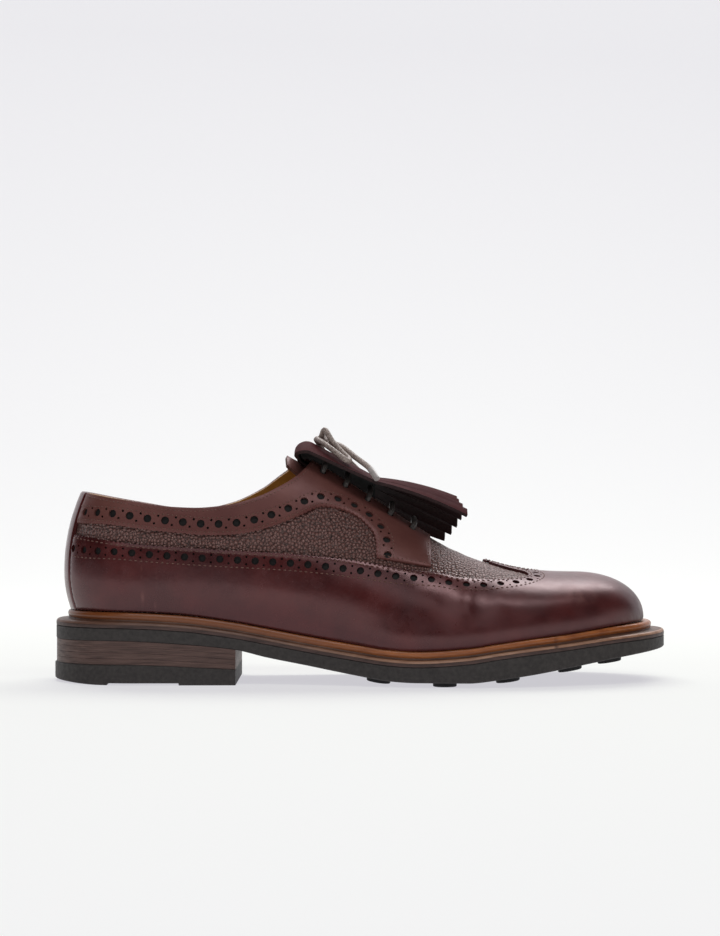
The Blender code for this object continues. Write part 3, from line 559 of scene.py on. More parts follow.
# colours as sRGB, dark and light
looks = {
    "smooth": smoothLeather("burgundySmooth", (54, 19, 20), (82, 33, 32), 0.23, 0.08, 0.8, True),
    "collar": smoothLeather("burgundyCollar", (90, 52, 48), (110, 70, 64), 0.38, 0.12, 0.45),
    "kiltie": smoothLeather("burgundyKiltie", (60, 26, 29), (78, 39, 41), 0.6, 0.14, 0.02),
    # painted shade: near black for the underside of the kiltie's flap
    "kiltieUnderPaintedShade": plainLook("kiltieUnderPaintedShade", (7, 5, 5), (12, 8, 8), 0.98, 700.0),
    # the dark colour is painted shade in the grain's creases
    "pebble": pebbledLeather("burgundyPebble", (18, 9, 9), (112, 77, 72)),
    "edge": plainLook("rawEdge", (66, 38, 34), (98, 62, 54), 0.75, 900.0),
    # dark cut edge of the kiltie, also used as painted shade on the strips' undersides
    "kiltieEdgeAndPaintedShade": plainLook("kiltieEdgeAndPaintedShade", (30, 13, 14), (48, 22, 23), 0.85, 900.0),
    "lining": plainLook("tanLining", (150, 104, 44), (182, 136, 66), 0.55, 120.0),
    # the last colour is painted shade towards the heel, and also the colour of the welt's join
    "rib": plainLook("tanRib", (138, 74, 34), (182, 108, 56), 0.36, 240.0, (0.25, 1, 1.6), 0.12, 0.1,
                     (112, 60, 26)),
    # painted shade: darker look for the welt top and the foot of the rib, which lie under the rib and the
    # upper
    "weltPaintedShade": plainLook("brownWeltPaintedShade", (62, 38, 26), (100, 66, 48), 0.55, 300.0, (0.3, 1, 1.6), 0.2),
    # painted highlight: a lighter line along the rounded rim of the welt, with painted shade towards the
    # heel
    "weltRimPaintedHighlight": plainLook("tanRimPaintedHighlight", (130, 90, 68), (178, 136, 110), 0.45, 300.0, (0.3, 1, 1.6), 0.2, 0.0,
                         (84, 56, 46)),
    "weltEdge": plainLook("brownEdge", (50, 34, 31), (84, 60, 54), 0.5, 420.0, (0.2, 1, 2.0), 0.25),
    "stack": plainLook("stackedLeather", (62, 42, 38), (104, 78, 70), 0.5, 500.0, (0.12, 0.3, 2.2), 0.35),
    "rubber": plainLook("greyRubber", (40, 36, 35), (58, 53, 51), 0.62, 500.0, (1, 1, 1), 0.12),
    # painted shade: a darker copy of the sole's rubber for the studs under the shoe
    "stud": plainLook("studRubberPaintedShade", (14, 13, 14), (24, 22, 23), 0.7, 500.0, (1, 1, 1), 0.12),
    "thread": plainLook("waxedThread", (84, 52, 46), (122, 86, 74), 0.5, 1600.0),
    "lace": cordLook("waxedLace", (124, 109, 103), (188, 172, 163)),
    # painted shade: a darker copy of the lace for the bars under the kiltie
    "lacePaintedShade": cordLook("waxedLacePaintedShade", (50, 45, 44), (92, 84, 80)),
    "tip": plainLook("laceTip", (150, 144, 142), (190, 182, 180), 0.3, 600.0),
    # painted shade: near-black floor in the punched holes
    "dark": plainLook("holePaintedShade", (10, 7, 7), (16, 11, 11), 0.8, 600.0),
}
print("materials ready")

# flat pattern of the wall: length along the foot and girth, for cutting panels
middleRun = np.linalg.norm(np.diff(wall[:, vCount // 2], axis=0), axis=1) \
    + np.linalg.norm(np.diff(wall[:, 3 * vCount // 2], axis=0), axis=1)
lengthAlong = np.concatenate(([0.0], np.cumsum(middleRun / 2)))


def girthOf(s, w):
    return np.where(w < 0, np.interp(s, sGrid, girth[lateral]), np.interp(s, sGrid, girth[medial]))


def toFlat(line):
    s, w = line.T
    return np.column_stack((np.interp(s, sGrid, lengthAlong), w * girthOf(s, w)))


def fromFlat(flat):
    s = np.interp(flat[:, 0], lengthAlong, sGrid)
    return np.column_stack((s, flat[:, 1] / girthOf(s, flat[:, 1])))


def insideLoop(points, loop):
    # even-odd test in blocks
    x0, y0 = loop.T
    x1, y1 = np.roll(loop, -1, axis=0).T
    slope = (x1 - x0) / np.where(np.abs(y1 - y0) < 1e-12, 1e-12, y1 - y0)
    result = []
    for block in np.array_split(points, max(len(points) // 1500, 1)):
        px, py = block[:, :1], block[:, 1:]
        crossing = ((y0 <= py) != (y1 <= py)) & (px < x0 + (py - y0) * slope)
        result.append(crossing.sum(1) % 2 == 1)
    return np.concatenate(result)


def inRings(points, rings):
    inside = np.zeros(len(points), bool)
    for ring in rings:
        middle = ring.mean(0)
        near = np.flatnonzero(np.abs(points - middle).max(1) < np.abs(ring - middle).max())
        if len(near):
            inside[near] |= insideLoop(points[near], ring)
    return inside


def treeOf(points):
    tree = KDTree(len(points))
    for k, p in enumerate(points):
        tree.insert((p[0], p[1], 0.0), k)
    tree.balance()
    return tree


def apart(points, others, distance):
    # the points that keep a distance from the others
    tree = treeOf(others)
    return points[[tree.find((p[0], p[1], 0.0))[2] > distance for p in points]]


def ringOn(s, w, radius, count):
    # round ring on the skin about one point
    turn = np.linspace(0, 2 * np.pi, count, endpoint=False)
    normal = unit(sample(normalGrid, np.array([s]), np.array([w])))[0]
    right = unit(np.cross(np.array((0.0, 0.0, 1.0)), normal) + np.array((1e-6, 0, 0)))
    up = np.cross(normal, right)
    move = radius * (np.cos(turn)[:, None] * right + np.sin(turn)[:, None] * up)
    return np.column_stack(stepOnSkin(np.full(count, s), np.full(count, w), move))


def signedArea(loop):
    x, y = loop.T
    return np.sum(x * np.roll(y, -1) - np.roll(x, -1) * y)


def cutFlat(outline, rim, rings, softRings, spacing):
    # triangles of the flat pattern inside the outline and outside the holes
    loops = [outline] + rings
    fixed = np.concatenate(loops)
    edges = []
    start = 0
    for loop in loops:
        edges += [(start + k, start + (k + 1) % len(loop)) for k in range(len(loop))]
        start += len(loop)
    low, high = outline.min(0), outline.max(0)
    xs, ys = np.arange(low[0], high[0], spacing), np.arange(low[1], high[1], spacing * 0.866)
    lattice = np.stack(np.meshgrid(xs, ys), -1)
    lattice[1::2, :, 0] += spacing / 2
    close = np.concatenate([rim[::2]] + softRings)
    close = apart(close[insideLoop(close, outline)], fixed, 0.22)
    free = lattice.reshape(-1, 2)
    free = apart(free[insideLoop(free, outline)], np.concatenate((fixed, close)), spacing * 0.55)
    free = np.concatenate((close, free))
    free = free[~inRings(free, rings)]
    result = delaunay_2d_cdt([Vector(p) for p in np.concatenate((fixed, free))], edges, [], 0, 1e-6)
    flat = np.array([(p.x, p.y) for p in result[0]])
    triangles = np.array(result[2])
    middles = flat[triangles].mean(1)
    triangles = triangles[insideLoop(middles, outline) & ~inRings(middles, rings)]
    used, index = np.unique(triangles, return_inverse=True)
    triangles, flat = index.reshape(-1, 3), flat[used]
    a, b, c = [flat[triangles[:, k]] for k in range(3)]
    backwards = np.cross(b - a, c - a) < 0
    triangles[backwards] = triangles[backwards][:, ::-1]
    return flat, triangles


def borderOf(triangles, count):
    # edges that belong to one triangle only
    pairs = np.concatenate([triangles[:, pair] for pair in ([0, 1], [1, 2], [2, 0])]).astype(np.int64)
    return pairs[~np.isin(pairs[:, 0] * count + pairs[:, 1], pairs[:, 1] * count + pairs[:, 0])]


def panel(name, plainLoop, cutLoop, holes, top, bottom, spacing, panelLooks, through=0, drop=0.3, soft=0.8):
    # leather cut to a loop and laid on the wall between two heights, with punched holes on a near-black
    # floor of painted shade;
    # the last few holes may go right through
    outline, plain = toFlat(cutLoop), toFlat(plainLoop)
    along = np.roll(plain, -1, axis=0) - np.roll(plain, 1, axis=0)
    inward = unit(np.column_stack((-along[:, 1], along[:, 0]))) * np.sign(signedArea(plain))
    rings = [toFlat(ringOn(s, w, radius, size)) for s, w, radius, size in holes]
    softRings = [toFlat(ringOn(s, w, 1.15 * radius + 0.15, size)) for s, w, radius, size in holes]
    flat, triangles = cutFlat(outline, plain + inward * soft, rings, softRings, spacing)
    count = len(flat)
    border = borderOf(triangles, count)
    sw = fromFlat(flat)
    onEdge = np.zeros(count, bool)
    onEdge[border.ravel()] = True
    corners = treeOf(flat)
    around = []
    for ring in rings:
        way = 1 if signedArea(ring) > 0 else -1
        around.append([corners.find((p[0], p[1], 0.0))[1] for p in ring[::way]])
        onEdge[around[-1]] = False
    upper = skin(sw[:, 0], sw[:, 1], np.where(onEdge, top - drop, top))
    lower = skin(sw[:, 0], sw[:, 1], np.full(count, bottom))
    seam = (sw[:, 0] < 1e-5) | (sw[:, 0] > 1 - 1e-5)
    border = border[~(seam[border[:, 0]] & seam[border[:, 1]])]
    faces = triangles.tolist() + (triangles[:, ::-1] + count).tolist()
    marks = [0] * len(faces)
    below = np.arange(count) + count
    points = [upper, lower]
    start = 2 * count
    for rim in around[:len(around) - through]:
        faces += [[k + count for k in rim[::-1]], list(range(start, start + len(rim)))]
        # the floor of each hole takes the look in painted shade
        marks += [0, 1]
        below[rim] = np.arange(start, start + len(rim))
        points.append(skin(sw[rim, 0], sw[rim, 1], np.full(len(rim), bottom + 0.3)))
        start += len(rim)
    sides = np.column_stack((border[:, 1], border[:, 0], below[border[:, 0]], below[border[:, 1]]))
    faces += sides.tolist()
    marks += [0] * len(sides)
    return meshObject(name, np.concatenate(points), faces, panelLooks, marks, 50.0)


def holeRow(line, distance, start, pitch, radius, pin, slant):
    # big holes along a line with a pair of pin holes between two of them
    row = evenOnSkin(shiftLine(line, distance), 0.1)
    big = np.arange(int(start * 10), len(row), pitch * 10).astype(int)
    holes = [(row[k, 0], row[k, 1], radius, 18) for k in big]
    tangent, normal, side = sidesOf(row)
    for k in (big[:-1] + big[1:]) // 2:
        for turn in (1, -1):
            move = (side[k] * pin[0] * turn + tangent[k] * slant * turn)[None]
            s, w = stepOnSkin(row[k:k + 1, 0], row[k:k + 1, 1], move)
            holes.append((s[0], w[0], pin[1], 10))
    return holes


stitchRows = []


def sew(line, out, pitch=2.6, length=1.75, thick=0.30):
    stitchRows.append((line, out, pitch, length, thick))


# wing cap: its edge, lateral then medial, in the shoe's own sizes
wing = {
    "startX": -141.8, "top": 1.6, "gimpPitch": 2.3, "gimpDepth": 0.6,
    "holeIn": 4.4, "holeLower": 2.2, "holeStart": 0.9, "holePitch": 8.6, "holeRadius": 1.8,
    "pin": (1.75, 0.55), "stitchIn": (1.3, 7.9), "stitchLower": 2.4, "footRise": 0.9, "spacing": 1.9,
    # x, lateral z, medial z, up to the valley
    "edge": (
        (-145.8, 73.0, 73.0), (-132.5, 71.1, 71.1), (-117.2, 69.2, 69.2), (-102.3, 67.8, 67.8),
        (-72.7, 65.9, 65.9), (-38.7, 64.0, 63.9), (-19.3, 62.3, 62.0), (0.1, 59.8, 59.3), (19.2, 56.4, 55.6),
        (38.4, 53.6, 52.5), (48.2, 51.5, 50.5), (57.9, 50.7, 49.8), (67.8, 50.5, 49.7), (76.9, 50.7, 50.1),
    ),
    # x and share of the half girth from the valley to the tip of the centre peak
    "peak": ((80.0, 0.62), (82.3, 0.67), (82.9, 0.72), (82.3, 0.78), (81.0, 0.826), (79.1, 0.852),
             (75.0, 0.88), (70.0, 0.905), (65.0, 0.94), (61.0, 0.9995)),
}


def wingEdge(sign):
    column = 1 if sign < 0 else 2
    along = smoothLine([(row[0], row[column]) for row in wing["edge"]], 0.8)
    along = along[along[:, 0] >= wing["startX"]]
    s = stationS(along[:, 0])
    lower = np.column_stack((s, wAtHeight(s, along[:, 1], sign)))
    peak = np.array(wing["peak"])
    upper = np.column_stack((stationS(peak[:, 0]), sign * (1 - peak[:, 1])))
    joined = np.concatenate((lower[:-1], upper))
    flat = toFlat(joined)
    tail = smoothLine(np.concatenate((flat[len(lower) - 8:len(lower) - 1:3], flat[len(lower) - 1:])), 0.8)
    return np.concatenate((lower[:len(lower) - 8], fromFlat(tail)))


wingLateral = evenOnSkin(wingEdge(lateral), 0.4)
wingMedial = evenOnSkin(wingEdge(medial), 0.4)
wingLine = np.concatenate((wingLateral, wingMedial[::-1][1:]))


def footLine(sign, start, rise, count=260):
    s = np.linspace(start, 1.0, count)
    return np.column_stack((s, wFoot(s, sign, rise)))


def girthLine(s, low, high, count=30):
    # straight up the wall at one s
    return np.column_stack((np.full(count, s), np.linspace(low, high, count)))


def wingLoop(edge):
    sStart = float(stationS(wing["startX"]))
    footLateral, footMedial = [footLine(sign, sStart, wing["footRise"]) for sign in (lateral, medial)]
    tip = girthLine(1.0, footLateral[-1, 1], footMedial[-1, 1], 15)
    downMedial = girthLine(sStart, edge[-1, 1], footMedial[0, 1])
    upLateral = girthLine(sStart, footLateral[0, 1], edge[0, 1])
    return np.concatenate((edge, downMedial[1:-1], footMedial, tip[::-1][1:-1], footLateral[::-1],
                           upLateral[1:-1]))


def inHeel(line, inward, extra):
    # rows run a little lower beside the back strap
    return -inward - extra * (1 - ease(wing["startX"], wing["startX"] + 30.0, stationX(line[:, 0])))


wingHoles = holeRow(wingLine, inHeel(wingLine, wing["holeIn"], wing["holeLower"]), wing["holeStart"],
                    wing["holePitch"], wing["holeRadius"], wing["pin"], 0.0)
wingPlain = wingLoop(evenOnSkin(wingLine, wing["gimpPitch"] / 6))
wingCut = wingLoop(gimped(wingLine, wing["gimpPitch"], wing["gimpDepth"]))
wingPiece = panel("wingCap", wingPlain, wingCut, wingHoles, wing["top"], 0.1, wing["spacing"],
                  [looks["smooth"], looks["dark"]])
dress(wingPiece, "burgundy_leather", "wing_foxing")
sew(shiftLine(wingLine, -wing["stitchIn"][0]), wing["top"])
sew(shiftLine(wingLine, inHeel(wingLine, wing["stitchIn"][1], wing["stitchLower"])), wing["top"])
print("wing cap ready")

# lace facings with the collar band
facing = {
    "top": 1.6, "gimpPitch": 2.3, "gimpDepth": 0.55, "spacing": 1.9,
    "holeIn": 5.4, "holeStart": 5.5, "holePitch": 8.7, "holeRadius": 1.95,
    "pin": (1.9, 0.6), "pinSlant": 0.8, "stitchIn": (1.5, 8.3), "toplineIn": 1.7,
    # pitch, length, thickness
    "stitch": (2.2, 1.5, 0.26), "toplineStitch": (2.0, 1.35, 0.24),
    # x, z of the lower edge, heel to tab, then the tab
    "edge": (
        (-145.8, 78.4), (-128.8, 78.1), (-118.4, 77.3), (-102.9, 75.2), (-87.6, 73.8), (-77.7, 72.9),
        (-67.9, 72.8), (-58.2, 73.5), (-48.5, 75.3), (-38.9, 78.4), (-29.3, 82.1), (-21.7, 85.6),
        (-17.4, 86.2), (-10.2, 85.1), (-5.3, 83.3), (-0.4, 80.6), (4.5, 76.0), (6.6, 73.0), (7.5, 69.6),
        (7.8, 65.0), (7.9, 61.7),
    ),
    "tab": ((7.9, 61.7), (12.0, 60.9), (19.1, 59.6), (34.2, 56.9)),
    "eyeletsX": (-19.0, -8.0, 3.0, 14.0, 25.0), "eyeletHalf": 15.0, "eyeletRadius": 2.0,
}


def onWall(rows, sign, step=0.6):
    line = smoothLine(rows, step)
    line = line[line[:, 0] >= wing["startX"]]
    s = stationS(line[:, 0])
    return np.column_stack((s, wAtHeight(s, line[:, 1], sign)))


def facingSide(sign, name):
    edge = onWall(facing["edge"], sign)
    tab = onWall(facing["tab"], sign)
    sStart, sThroat = float(stationS(wing["startX"])), float(stationS(last["throatX"]))
    sTop = np.linspace(sThroat, sStart, 420)
    upper = evenOnSkin(np.column_stack((sTop, wTop(sTop, sign))), 0.5)
    front = girthLine(sThroat, tab[-1, 1], upper[0, 1], 40)
    back = girthLine(sStart, upper[-1, 1], edge[0, 1], 24)

    def loop(lower):
        return np.concatenate((lower, tab[1:], front[1:-1], upper, back[1:-1]))

    up = -sign  # the line runs heel to toe, so its upper side changes with the side of the foot
    holes = holeRow(edge, up * facing["holeIn"], facing["holeStart"], facing["holePitch"],
                    facing["holeRadius"], facing["pin"], facing["pinSlant"] * up)
    for x in facing["eyeletsX"]:
        s = float(stationS(x))
        w = float(wAtGap(np.array([s]), facing["eyeletHalf"], sign)[0])
        holes.append((s, w, facing["eyeletRadius"], 18))
    plain = loop(evenOnSkin(edge, facing["gimpPitch"] / 6))
    cut = loop(gimped(edge, facing["gimpPitch"], facing["gimpDepth"]))
    for line, inward in ((edge, facing["stitchIn"][0]), (edge, facing["stitchIn"][1]),
                         (tab[4:-4], facing["stitchIn"][0]), (front[4:-4], facing["stitchIn"][0])):
        sew(shiftLine(line, up * inward), facing["top"], *facing["stitch"])
    sew(shiftLine(upper[::-1][4:], -up * facing["toplineIn"]), facing["top"], *facing["toplineStitch"])
    return panel(name, plain, cut, holes, facing["top"], 0.1, facing["spacing"],
                 [looks["collar"], looks["dark"]], len(facing["eyeletsX"]))


dress(facingSide(lateral, "facingLateral"), "burgundy_leather", "facing_lateral")
dress(facingSide(medial, "facingMedial"), "burgundy_leather", "facing_medial")
print("facings ready")


# upper: grained outer leather and tan lining
upper = {"grain": (0.0, -1.15), "lining": (-1.2, -2.4), "spacing": 2.2}


def wallLoop(count=420):
    s = np.linspace(0.0, 1.0, count)
    sThroat = float(stationS(last["throatX"]))
    sTop = np.linspace(0.0, sThroat, 360)
    topLateral, topMedial = [np.column_stack((sTop, wTop(sTop, sign))) for sign in (lateral, medial)]
    seamLateral = girthLine(0.0, -1.0, topLateral[0, 1], 40)
    seamMedial = girthLine(0.0, 1.0, topMedial[0, 1], 40)
    front = girthLine(sThroat, topLateral[-1, 1], topMedial[-1, 1], 24)
    tip = girthLine(1.0, -1.0, 1.0, 15)
    return np.concatenate((
        np.column_stack((s[::-1], np.full(count, -1.0))), seamLateral[1:-1], topLateral, front[1:-1],
        topMedial[::-1], seamMedial[::-1][1:-1], np.column_stack((s, np.full(count, 1.0))), tip[::-1][1:-1]))


def weld(thing):
    # close the back seam and the toe tip
    body = bmesh.new()
    body.from_mesh(thing.data)
    bmesh.ops.remove_doubles(body, verts=body.verts, dist=0.00002)
    body.to_mesh(thing.data)
    body.free()
    return thing


outerLoop = wallLoop()
for name, look, slot in (("grain", "pebble", "grained_leather"), ("lining", "lining", "tan_leather")):
    high, low = upper[name]
    piece = weld(panel("upper" + name.capitalize(), outerLoop, outerLoop, [], high, low, upper["spacing"],
                       [looks[look]], 0, 0.1))
    dress(piece, slot, "upper")
weld(wingPiece)
print("upper ready")


def sheetFaces(rows, columns, start, flip=False):
    faces = []
    for i in range(rows - 1):
        for j in range(columns - 1):
            a = start + i * columns + j
            quad = [a, a + 1, a + columns + 1, a + columns]
            faces.append(quad[::-1] if flip else quad)
    return faces


def ringFaces(count, size, closed=False):
    # faces along a row of rings, which is closed or has both its ends capped
    faces = []
    for i in range(count if closed else count - 1):
        for j in range(size):
            a, b = i * size + j, i * size + (j + 1) % size
            faces.append([a, b, (b + size) % (count * size), (a + size) % (count * size)])
    if not closed:
        faces += [list(range(size))[::-1], list(range((count - 1) * size, count * size))]
    return faces


def thickSheet(top, bottom, flip=False):
    # closed solid between two grids of points; marks: 0 top, 1 cut edge, 2 underside
    rows, columns = top.shape[:2]
    count = rows * columns
    faces = sheetFaces(rows, columns, 0) + sheetFaces(rows, columns, count, True)
    marks = [0] * (len(faces) // 2) + [2] * (len(faces) // 2)
    rim = [i * columns for i in range(rows)] + [(rows - 1) * columns + j for j in range(1, columns)]
    rim += [i * columns + columns - 1 for i in range(rows - 2, -1, -1)] + list(range(columns - 2, 0, -1))
    for a, b in zip(rim, rim[1:] + rim[:1]):
        faces.append([a, b, b + count, a + count])
        marks.append(1)
    if flip:
        faces = [face[::-1] for face in faces]
    return np.concatenate((top.reshape(-1, 3), bottom.reshape(-1, 3))), faces, marks


def joinParts(parts):
    points, faces = [], []
    start = 0
    for somePoints, someFaces in parts:
        points.append(somePoints)
        faces += [[i + start for i in face] for face in someFaces]
        start += len(somePoints)
    return np.concatenate(points), faces


# back strap over the seam, up to the collar edge
strap = {"edgeX": -142.0, "top": 1.8, "low": 0.1, "round": 0.5, "rows": 60, "columns": 41}
strapS = float(stationS(strap["edgeX"]))
across = np.linspace(-1, 1, strap["columns"])


def strapPoint(u, v, out):
    sign = lateral if u < 0 else medial
    s = np.array([abs(u) * strapS])
    low, high = wFoot(s, sign, wing["footRise"]), wTop(s, sign)
    return skin(s, low + (high - low) * v, [out])[0]


strapTop, strapLow = [], []
for v in np.linspace(0, 1, strap["rows"]):
    outs = [strap["top"] - strap["round"] * (int(abs(u) == 1) + int(v == 1)) for u in across]
    strapTop.append([strapPoint(u, v, out) for u, out in zip(across, outs)])
    strapLow.append([strapPoint(u, v, strap["low"]) for u in across])
points, faces, marks = thickSheet(np.array(strapTop), np.array(strapLow), True)
dress(meshObject("backStrap", points, faces, [looks["smooth"]], None, 50.0),
      "burgundy_leather", "back_strap")
print("back strap ready")


# sole outline: plan points outside the feather line
def soleOut(s, sign, out):
    s = np.asarray(s, float)
    w = np.full(len(s), sign)
    base = sample(wallGrid, s, w)
    ds = 0.003
    a, b = np.abs(s - ds), 1 - np.abs(1 - s - ds)
    ahead = sample(wallGrid, b, np.where(s + ds > 1, -w, w))
    behind = sample(wallGrid, a, np.where(s - ds < 0, -w, w))
    run = (ahead - behind)[:, :2]
    normal = unit(np.column_stack((run[:, 1], -run[:, 0])) * -sign)
    return base[:, :2] + normal * np.asarray(out, float).reshape(-1, 1)


def ringLoft(count, profile):
    # profile(x at the feather) gives out and rise over the welt top
    s = np.linspace(0, 1, count + 1)
    loops = []
    for one, sign in [(one, lateral) for one in s] + [(one, medial) for one in s[-2:0:-1]]:
        shape = np.array(profile(float(stationX(one))))
        plan = np.concatenate([soleOut(np.array([one]), sign, [out]) for out in shape[:, 0]])
        loops.append(np.column_stack((plan, weltTopAt(plan[:, 0]) + shape[:, 1])))
    return np.concatenate(loops), ringFaces(len(loops), len(shape), True), len(shape)


welt = {
    "thick": 3.0, "under": 7.0, "stations": 150,
    # rounded upper rim: in from the edge, rise over the welt
    "rim": ((-0.05, -2.0), (0.0, -1.3), (0.25, -0.65), (0.7, -0.2), (1.3, 0.0)),
    # rib profile: out from the feather line, rise over the welt
    "rib": ((3.7, 0.0), (3.0, 0.35), (2.75, 1.0), (3.05, 1.7), (3.25, 2.5), (3.15, 3.3), (2.75, 4.0),
            (2.1, 4.38), (1.4, 4.4), (0.8, 4.1), (0.55, 3.2), (0.5, 0.0)),
    # the rib is wider round the toe: from and to x, how much
    "ribToe": (116.0, 140.0, 2.0), "ribFace": 2.0,
}


def weltProfile(x):
    reach = float(reachAt(x))
    edge = [(reach, -welt["thick"])] + [(reach - a, b) for a, b in welt["rim"]]
    fromX, toX, most = welt["ribToe"]
    wider = most * float(ease(fromX, toX, x))
    rib = [(out + wider * (out > welt["ribFace"]), rise) for out, rise in welt["rib"]]
    return edge + rib + [(-welt["under"], 0.0), (-welt["under"], -welt["thick"])]


points, faces, k = ringLoft(welt["stations"], weltProfile)
# the top band, with the foot of the rib, takes the painted shade, and the rim band the painted highlight
bands = [1, 1] + [3, 3, 3] + [2, 2, 2] + [0] * (k - 10) + [1, 1]  # edge, rim, top, rib, underside
marks = bands * (len(faces) // k)
weltLooks = [looks["rib"], looks["weltEdge"], looks["weltPaintedShade"], looks["weltRimPaintedHighlight"]]
dress(meshObject("stormWelt", points, faces, weltLooks, marks, 40.0), "welt_leather", "welt")
print("welt ready")


def plateLoft(stops, low, high, inside, bevel, endX=None):
    # slab between two height functions inside the sole outline
    reach = reachAt(stationX(stops))

    def edge(sign, inset, level, shift):
        plan = soleOut(stops, sign, reach - inside - inset)
        if endX is not None:
            plan[:, 0] = np.minimum(plan[:, 0], endX)
            plan[-1, 0] = endX
        return np.column_stack((plan, level(plan[:, 0]) + shift))

    corners = ((bevel, high, 0.0), (0.0, high, -bevel), (0.0, low, bevel), (bevel, low, 0.0))
    loops = np.stack([edge(lateral, *corner) for corner in corners]
                     + [edge(medial, *corner) for corner in corners[::-1]], 1)
    return loops.reshape(-1, 3), ringFaces(*loops.shape[:2])


def cylinder(x, y, radius, sides, low, high, bevel):
    # low and high are height functions of x
    turn = np.linspace(0, 2 * np.pi, sides, endpoint=False)
    rings = []
    for r, level, shift in ((radius - bevel, low, 0.0), (radius, low, bevel), (radius, high, 0.0)):
        px, py = x + r * np.cos(turn), y + r * np.sin(turn)
        rings.append(np.column_stack((px, py, level(px) + shift)))
    return np.concatenate(rings), ringFaces(len(rings), sides)


outsole = {
    "studRadius": 5.75, "studDrop": 2.1, "studInto": 1.5, "studRound": 0.35, "round": 0.5,
    "flat": (20.0, 60.0), "stations": 220,
    # x, share of the half width on the lateral and medial side
    "edgeStuds": ((9.0, 0.72, 0.66), (41.0, 0.78, 0.76), (71.5, 0.78, 0.78), (102.0, 0.76, 0.76),
                  (122.0, 0.70, 0.70)),
    "middleStuds": ((25.0, -14.0), (25.0, 12.0), (41.0, -3.0), (56.0, -18.0), (56.0, 18.0), (71.5, 2.0),
                    (87.0, -14.0), (87.0, 18.0), (102.0, 4.0), (113.0, -10.0), (113.0, 18.0), (131.0, 5.0)),
}


def soleTop(x):
    return weltTopAt(x) - welt["thick"] - 0.05


def soleEdgeY(x, sign):
    s = np.linspace(0, 1, 600)
    plan = soleOut(s, sign, reachAt(stationX(s)))
    return float(np.interp(x, plan[:, 0], plan[:, 1]))


def stud(x, y):
    # the studs under the ball reach the floor
    onFloor = outsole["flat"][0] <= x <= outsole["flat"][1]

    def low(px):
        return np.zeros_like(px) if onFloor else np.maximum(treadAt(px) - outsole["studDrop"], 0.0)

    def high(px):
        return treadAt(px) + outsole["studInto"]

    return cylinder(x, y, outsole["studRadius"], 28, low, high, outsole["studRound"])


parts = [plateLoft(np.linspace(0, 1, outsole["stations"]), treadAt, soleTop, 0.0, outsole["round"])]
edgeStuds = [(x, soleEdgeY(x, sign) * share) for x, *shares in outsole["edgeStuds"]
             for sign, share in zip((lateral, medial), shares)]
parts += [stud(x, y) for x, y in edgeStuds + list(outsole["middleStuds"])]
points, faces = joinParts(parts)
plateCount = len(parts[0][1])
marks = [0] * plateCount + [1] * (len(faces) - plateCount)
# the studs take the rubber's copy in painted shade
dress(meshObject("outsole", points, faces, [looks["rubber"], looks["stud"]], marks, 30.0),
      "studded_rubber", "outsole")
print("outsole ready")

# heel: stacked lifts over a rubber top piece
heel = {
    "breastX": -60.5, "lifts": 4, "topPiece": ((-152.0, 9.6), (-117.0, 9.9), (-60.5, 7.6)),
    "liftIn": 0.2, "liftGap": 0.05, "liftRound": 0.07, "topPieceOut": 0.6, "topPieceRound": 0.4,
    "curl": 1.6, "curlX": -128.0, "curlRun": 24.0, "curlPower": 1.5,
    "recess": (-123.0, -88.0), "recessDeep": 1.0,
}
topPieceAt = curveThrough(heel["topPiece"], 1)
sTry = np.linspace(0, 0.6, 2000)
edgeX = soleOut(sTry, lateral, reachAt(stationX(sTry)))[:, 0]
breastS = float(np.interp(heel["breastX"], edgeX, sTry))
heelStops = np.linspace(0, breastS, 90)


def liftLevel(share, shift):
    # height function between the top piece (0) and the sole (1)
    return lambda x: topPieceAt(x) + (treadAt(x) - topPieceAt(x)) * share + shift


count = heel["lifts"]
parts = [plateLoft(heelStops, liftLevel(k / count, heel["liftGap"]), liftLevel((k + 1) / count, 0.0),
                   heel["liftIn"], heel["liftRound"], heel["breastX"]) for k in range(count)]
points, faces = joinParts(parts)
dress(meshObject("heelStack", points, faces, [looks["stack"]], None, 30.0), "stacked_leather",
      *["heel_lift_%d" % (k + 1) for k in range(count)])


def heelFloor(x):
    curl = heel["curl"] * np.maximum((heel["curlX"] - x) / heel["curlRun"], 0.0) ** heel["curlPower"]
    return np.where((x > heel["recess"][0]) & (x < heel["recess"][1]), heel["recessDeep"], curl)


recessStops = [float(np.interp(x + d, edgeX, sTry)) for x in heel["recess"] for d in (-0.05, 0.05)]
points, faces = plateLoft(np.sort(np.concatenate((heelStops, recessStops))), heelFloor, topPieceAt,
                          -heel["topPieceOut"], heel["topPieceRound"], heel["breastX"])
dress(meshObject("heelTopPiece", points, faces, [looks["rubber"]], None, 30.0),
      "studded_rubber", "heel_top_piece")
print("heel ready")

# insole sock
insole = {"inset": 3.0, "low": 0.3, "high": 3.7, "dish": 0.8, "stations": 90, "columns": 15}
s = np.linspace(0.004, 0.996, insole["stations"])
left, right = [soleOut(s, sign, np.full(len(s), -insole["inset"])) for sign in (lateral, medial)]
share = np.linspace(0, 1, insole["columns"])
plan = left[:, None] * (1 - share)[None, :, None] + right[:, None] * share[None, :, None]
dish = insole["dish"] * (1 - (2 * share - 1) ** 4)
base = weltTopAt(plan[..., 0])
topGrid = np.concatenate((plan, (base + insole["high"] - dish[None])[..., None]), -1)
lowGrid = np.concatenate((plan, (base + insole["low"])[..., None]), -1)
points, faces, marks = thickSheet(topGrid, lowGrid, True)
dress(meshObject("insole", points, faces, [looks["lining"]]), "tan_leather", "insole")

